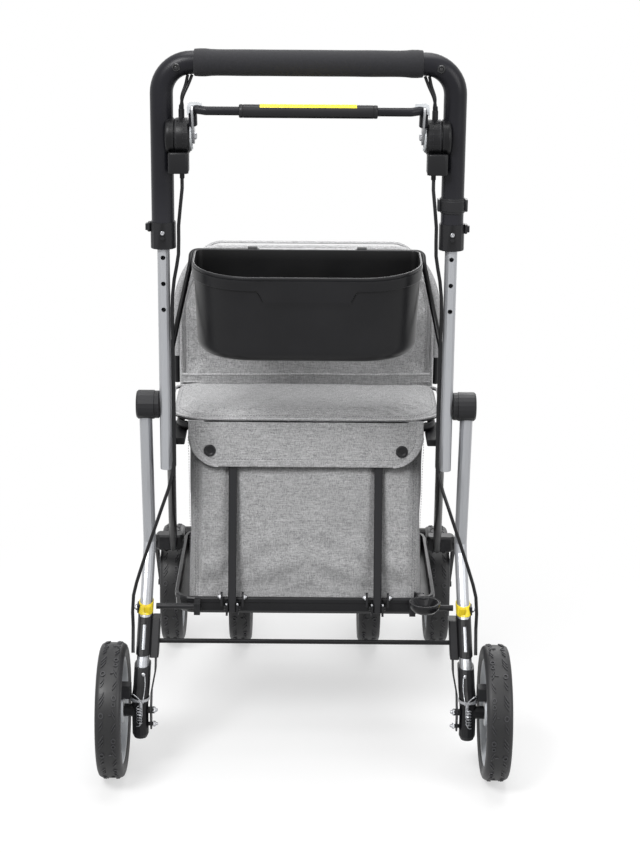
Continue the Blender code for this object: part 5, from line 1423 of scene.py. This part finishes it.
def make_brake_trim(name, side):
    """Steel and black trim round the knuckle: block, nuts, band, strip, screw and wires."""
    bm = bmesh.new()
    out, leg, across = 0.2323 + LEG_HALF_X + 0.0012, leg_y(LATCH_Z), (side, 0, 0)
    rounded_box(bm, (side * out, leg - 0.0120, 0.2222),
                (side * (out + 0.0048), leg + 0.0060, 0.2350), 0.0010, 1)
    dome(bm, (side * (out + 0.0046), leg - 0.004, 0.2290), across, 0.0046, 0.0036, 6)
    dome(bm, (side * (out + 0.0080), leg - 0.004, 0.2290), across, 0.0026, 0.0030)
    for z, r in ((0.1000, 0.0052), (0.0780, 0.0044)):
        dome(bm, (side * 0.2193, REAR_Y, z), (-side, 0, 0), r, 0.0030, 6)
        dome(bm, (side * 0.2165, REAR_Y, z), (-side, 0, 0), r * 0.55, 0.0030)
    band = ((0.1172, 0.0126), (0.1172, 0.0139), (0.1215, 0.0141), (0.1215, 0.0128))
    turned(bm, (side * KNUCKLE_X, -0.2548, 0), Z, band, X, Y, 32, closed=True)
    rounded_box(bm, (side * 0.2345, -0.2694, 0.0960), (side * 0.2392, -0.2674, 0.1185), 0.0006)
    dome(bm, (side * 0.2350, -0.2405, 0.1490), (0, -1, 0.3), 0.0034, 0.0024)
    for wire in BRAKE_WIRES:
        draw_tube(bm, smooth_run([(side * x, y, z) for x, y, z in wire], 5), 0.00075, 8)
    finish_mesh(bm, "brake_trim_" + name, [steel, black], "rear_frame", "bright_steel", sharp=30)


def make_pedal():
    """The deep foot cup on its short arm."""
    bm = bmesh.new()
    cup = ((0.2335, 0.0040), (0.2342, 0.0100), (0.2366, 0.0160), (0.2410, 0.0203), (0.2462, 0.0224),
           (0.2505, 0.0230), (0.2515, 0.0226), (0.2512, 0.0214), (0.2480, 0.0202), (0.2440, 0.0174),
           (0.2412, 0.0125), (0.2402, 0.0050))
    turned(bm, (0.176, -0.2023, 0), Z, cup, X, Y, 48)
    x, rings = 0.1722, []
    for y, half, z in ((-0.1860, 0.0105, 0.2490), (-0.1800, 0.0080, 0.2488),
                       (-0.1720, 0.0052, 0.2482), (-0.1600, 0.0042, 0.2460),
                       (-0.1470, 0.0040, 0.2420)):
        low, high = z - 0.0015, z + 0.0012
        rings.append([Vector((x - half, y, low)), Vector((x + half, y, low)),
                      Vector((x + half * 0.8, y, high)), Vector((x - half * 0.8, y, high))])
    skin(bm, rings)
    finish_mesh(bm, "pedal_cup", cable, "pedal", "black_plastic", sharp=40)


make_strut_fittings()
for side_name, side in SIDES:
    make_latch(side_name, side)
    make_brake_trim(side_name, side)
make_pedal()


# CAD nodes that stay in view
def dress_nodes():
    looks = {"black_plastic": black, "satin_plastic": satin, "foam": foam, "black_coat": coat,
             "silver_tube": silver, "bright_steel": steel, "light_grey_plastic": pale_grey,
             "yellow_plastic": yellow, "rubber": rubber, "grey_cloth": cloth}
    own = {kind + name: cable for kind in ("brake_cable_", "cable_loop_") for name, _ in SIDES}
    for row in frame["record"]["subparts"]:
        made = frame["nodes"][row["node"]]
        look = own.get(row["node"], looks[row["material_slot"]])
        for place in made.material_slots:
            place.link = "OBJECT"
            place.material = look


dress_nodes()


# Floor and light
def seen_white(tree):
    """1 for the rays that show the background: camera, mirror and glass rays."""
    path = tree.nodes.new("ShaderNodeLightPath")
    total = path.outputs["Is Camera Ray"]
    for ray in ("Is Glossy Ray", "Is Transmission Ray"):
        add = tree.nodes.new("ShaderNodeMath")
        add.operation = "ADD"
        add.use_clamp = True
        tree.links.new(total, add.inputs[0])
        tree.links.new(path.outputs[ray], add.inputs[1])
        total = add.outputs[0]
    return total


def make_floor():
    """A pale floor that keeps the shadow and fades to plain white away from the object."""
    look = Look("floor_paint", 0.9, Base_Color=(0.93, 0.93, 0.93, 1), Specular_IOR_Level=0.0)
    glow = look.node("ShaderNodeEmission")
    look.link(seen_white(look.tree), glow.inputs["Strength"])
    reach = look.node("ShaderNodeVectorMath", operation="LENGTH")
    look.link(look.coords, reach.inputs[0])
    fade = look.ramp(reach.outputs["Value"], 0.30, 0.90, 0.55, 1.0)
    fade.node.interpolation_type = "SMOOTHSTEP"
    both = look.node("ShaderNodeMixShader")
    look.link(fade, both.inputs["Fac"])
    look.link(look.shader.outputs["BSDF"], both.inputs[1])
    look.link(glow.outputs["Emission"], both.inputs[2])
    look.link(both.outputs["Shader"], look.tree.nodes["Material Output"].inputs["Surface"])
    mesh = bpy.data.meshes.new("floor")
    far = 9.0
    mesh.from_pydata([(-far, -far, 0), (far, -far, 0), (far, far, 0), (-far, far, 0)],
                     [], [(0, 1, 2, 3)])
    mesh.materials.append(look.made)
    floor = bpy.data.objects.new("floor", mesh)
    bpy.context.scene.collection.objects.link(floor)


def make_light():
    """A white world, dimmer for the light that it gives than for the rays that see it."""
    world = bpy.data.worlds.new("studio")
    bpy.context.scene.world = world
    world.use_nodes = True
    tree = world.node_tree
    back = tree.nodes["Background"]
    back.inputs["Color"].default_value = (1, 1, 1, 1)
    strength = tree.nodes.new("ShaderNodeMapRange")
    strength.inputs["To Min"].default_value = 0.34
    strength.inputs["To Max"].default_value = 1.0
    tree.links.new(seen_white(tree), strength.inputs["Value"])
    tree.links.new(strength.outputs["Result"], back.inputs["Strength"])

    aim = Vector((0, 0, 0.5))
    for name, spot, size, power in (
        ("key", (-1.3, -2.1, 3.0), 1.2, 84),
        ("fill", (2.2, -2.0, 1.9), 1.6, 30),
        ("top", (0.2, 0.3, 3.2), 2.0, 52),
        ("back", (0.6, 2.8, 1.8), 1.6, 22),
    ):
        lamp = bpy.data.lights.new(name, "AREA")
        lamp.energy = power
        lamp.size = size
        made = bpy.data.objects.new(name, lamp)
        bpy.context.scene.collection.objects.link(made)
        turn = (aim - Vector(spot)).to_track_quat("-Z", "Y").to_matrix().to_4x4()
        made.matrix_world = Matrix.Translation(spot) @ turn


make_floor()
make_light()
bpy.context.scene.view_settings.view_transform = "Standard"
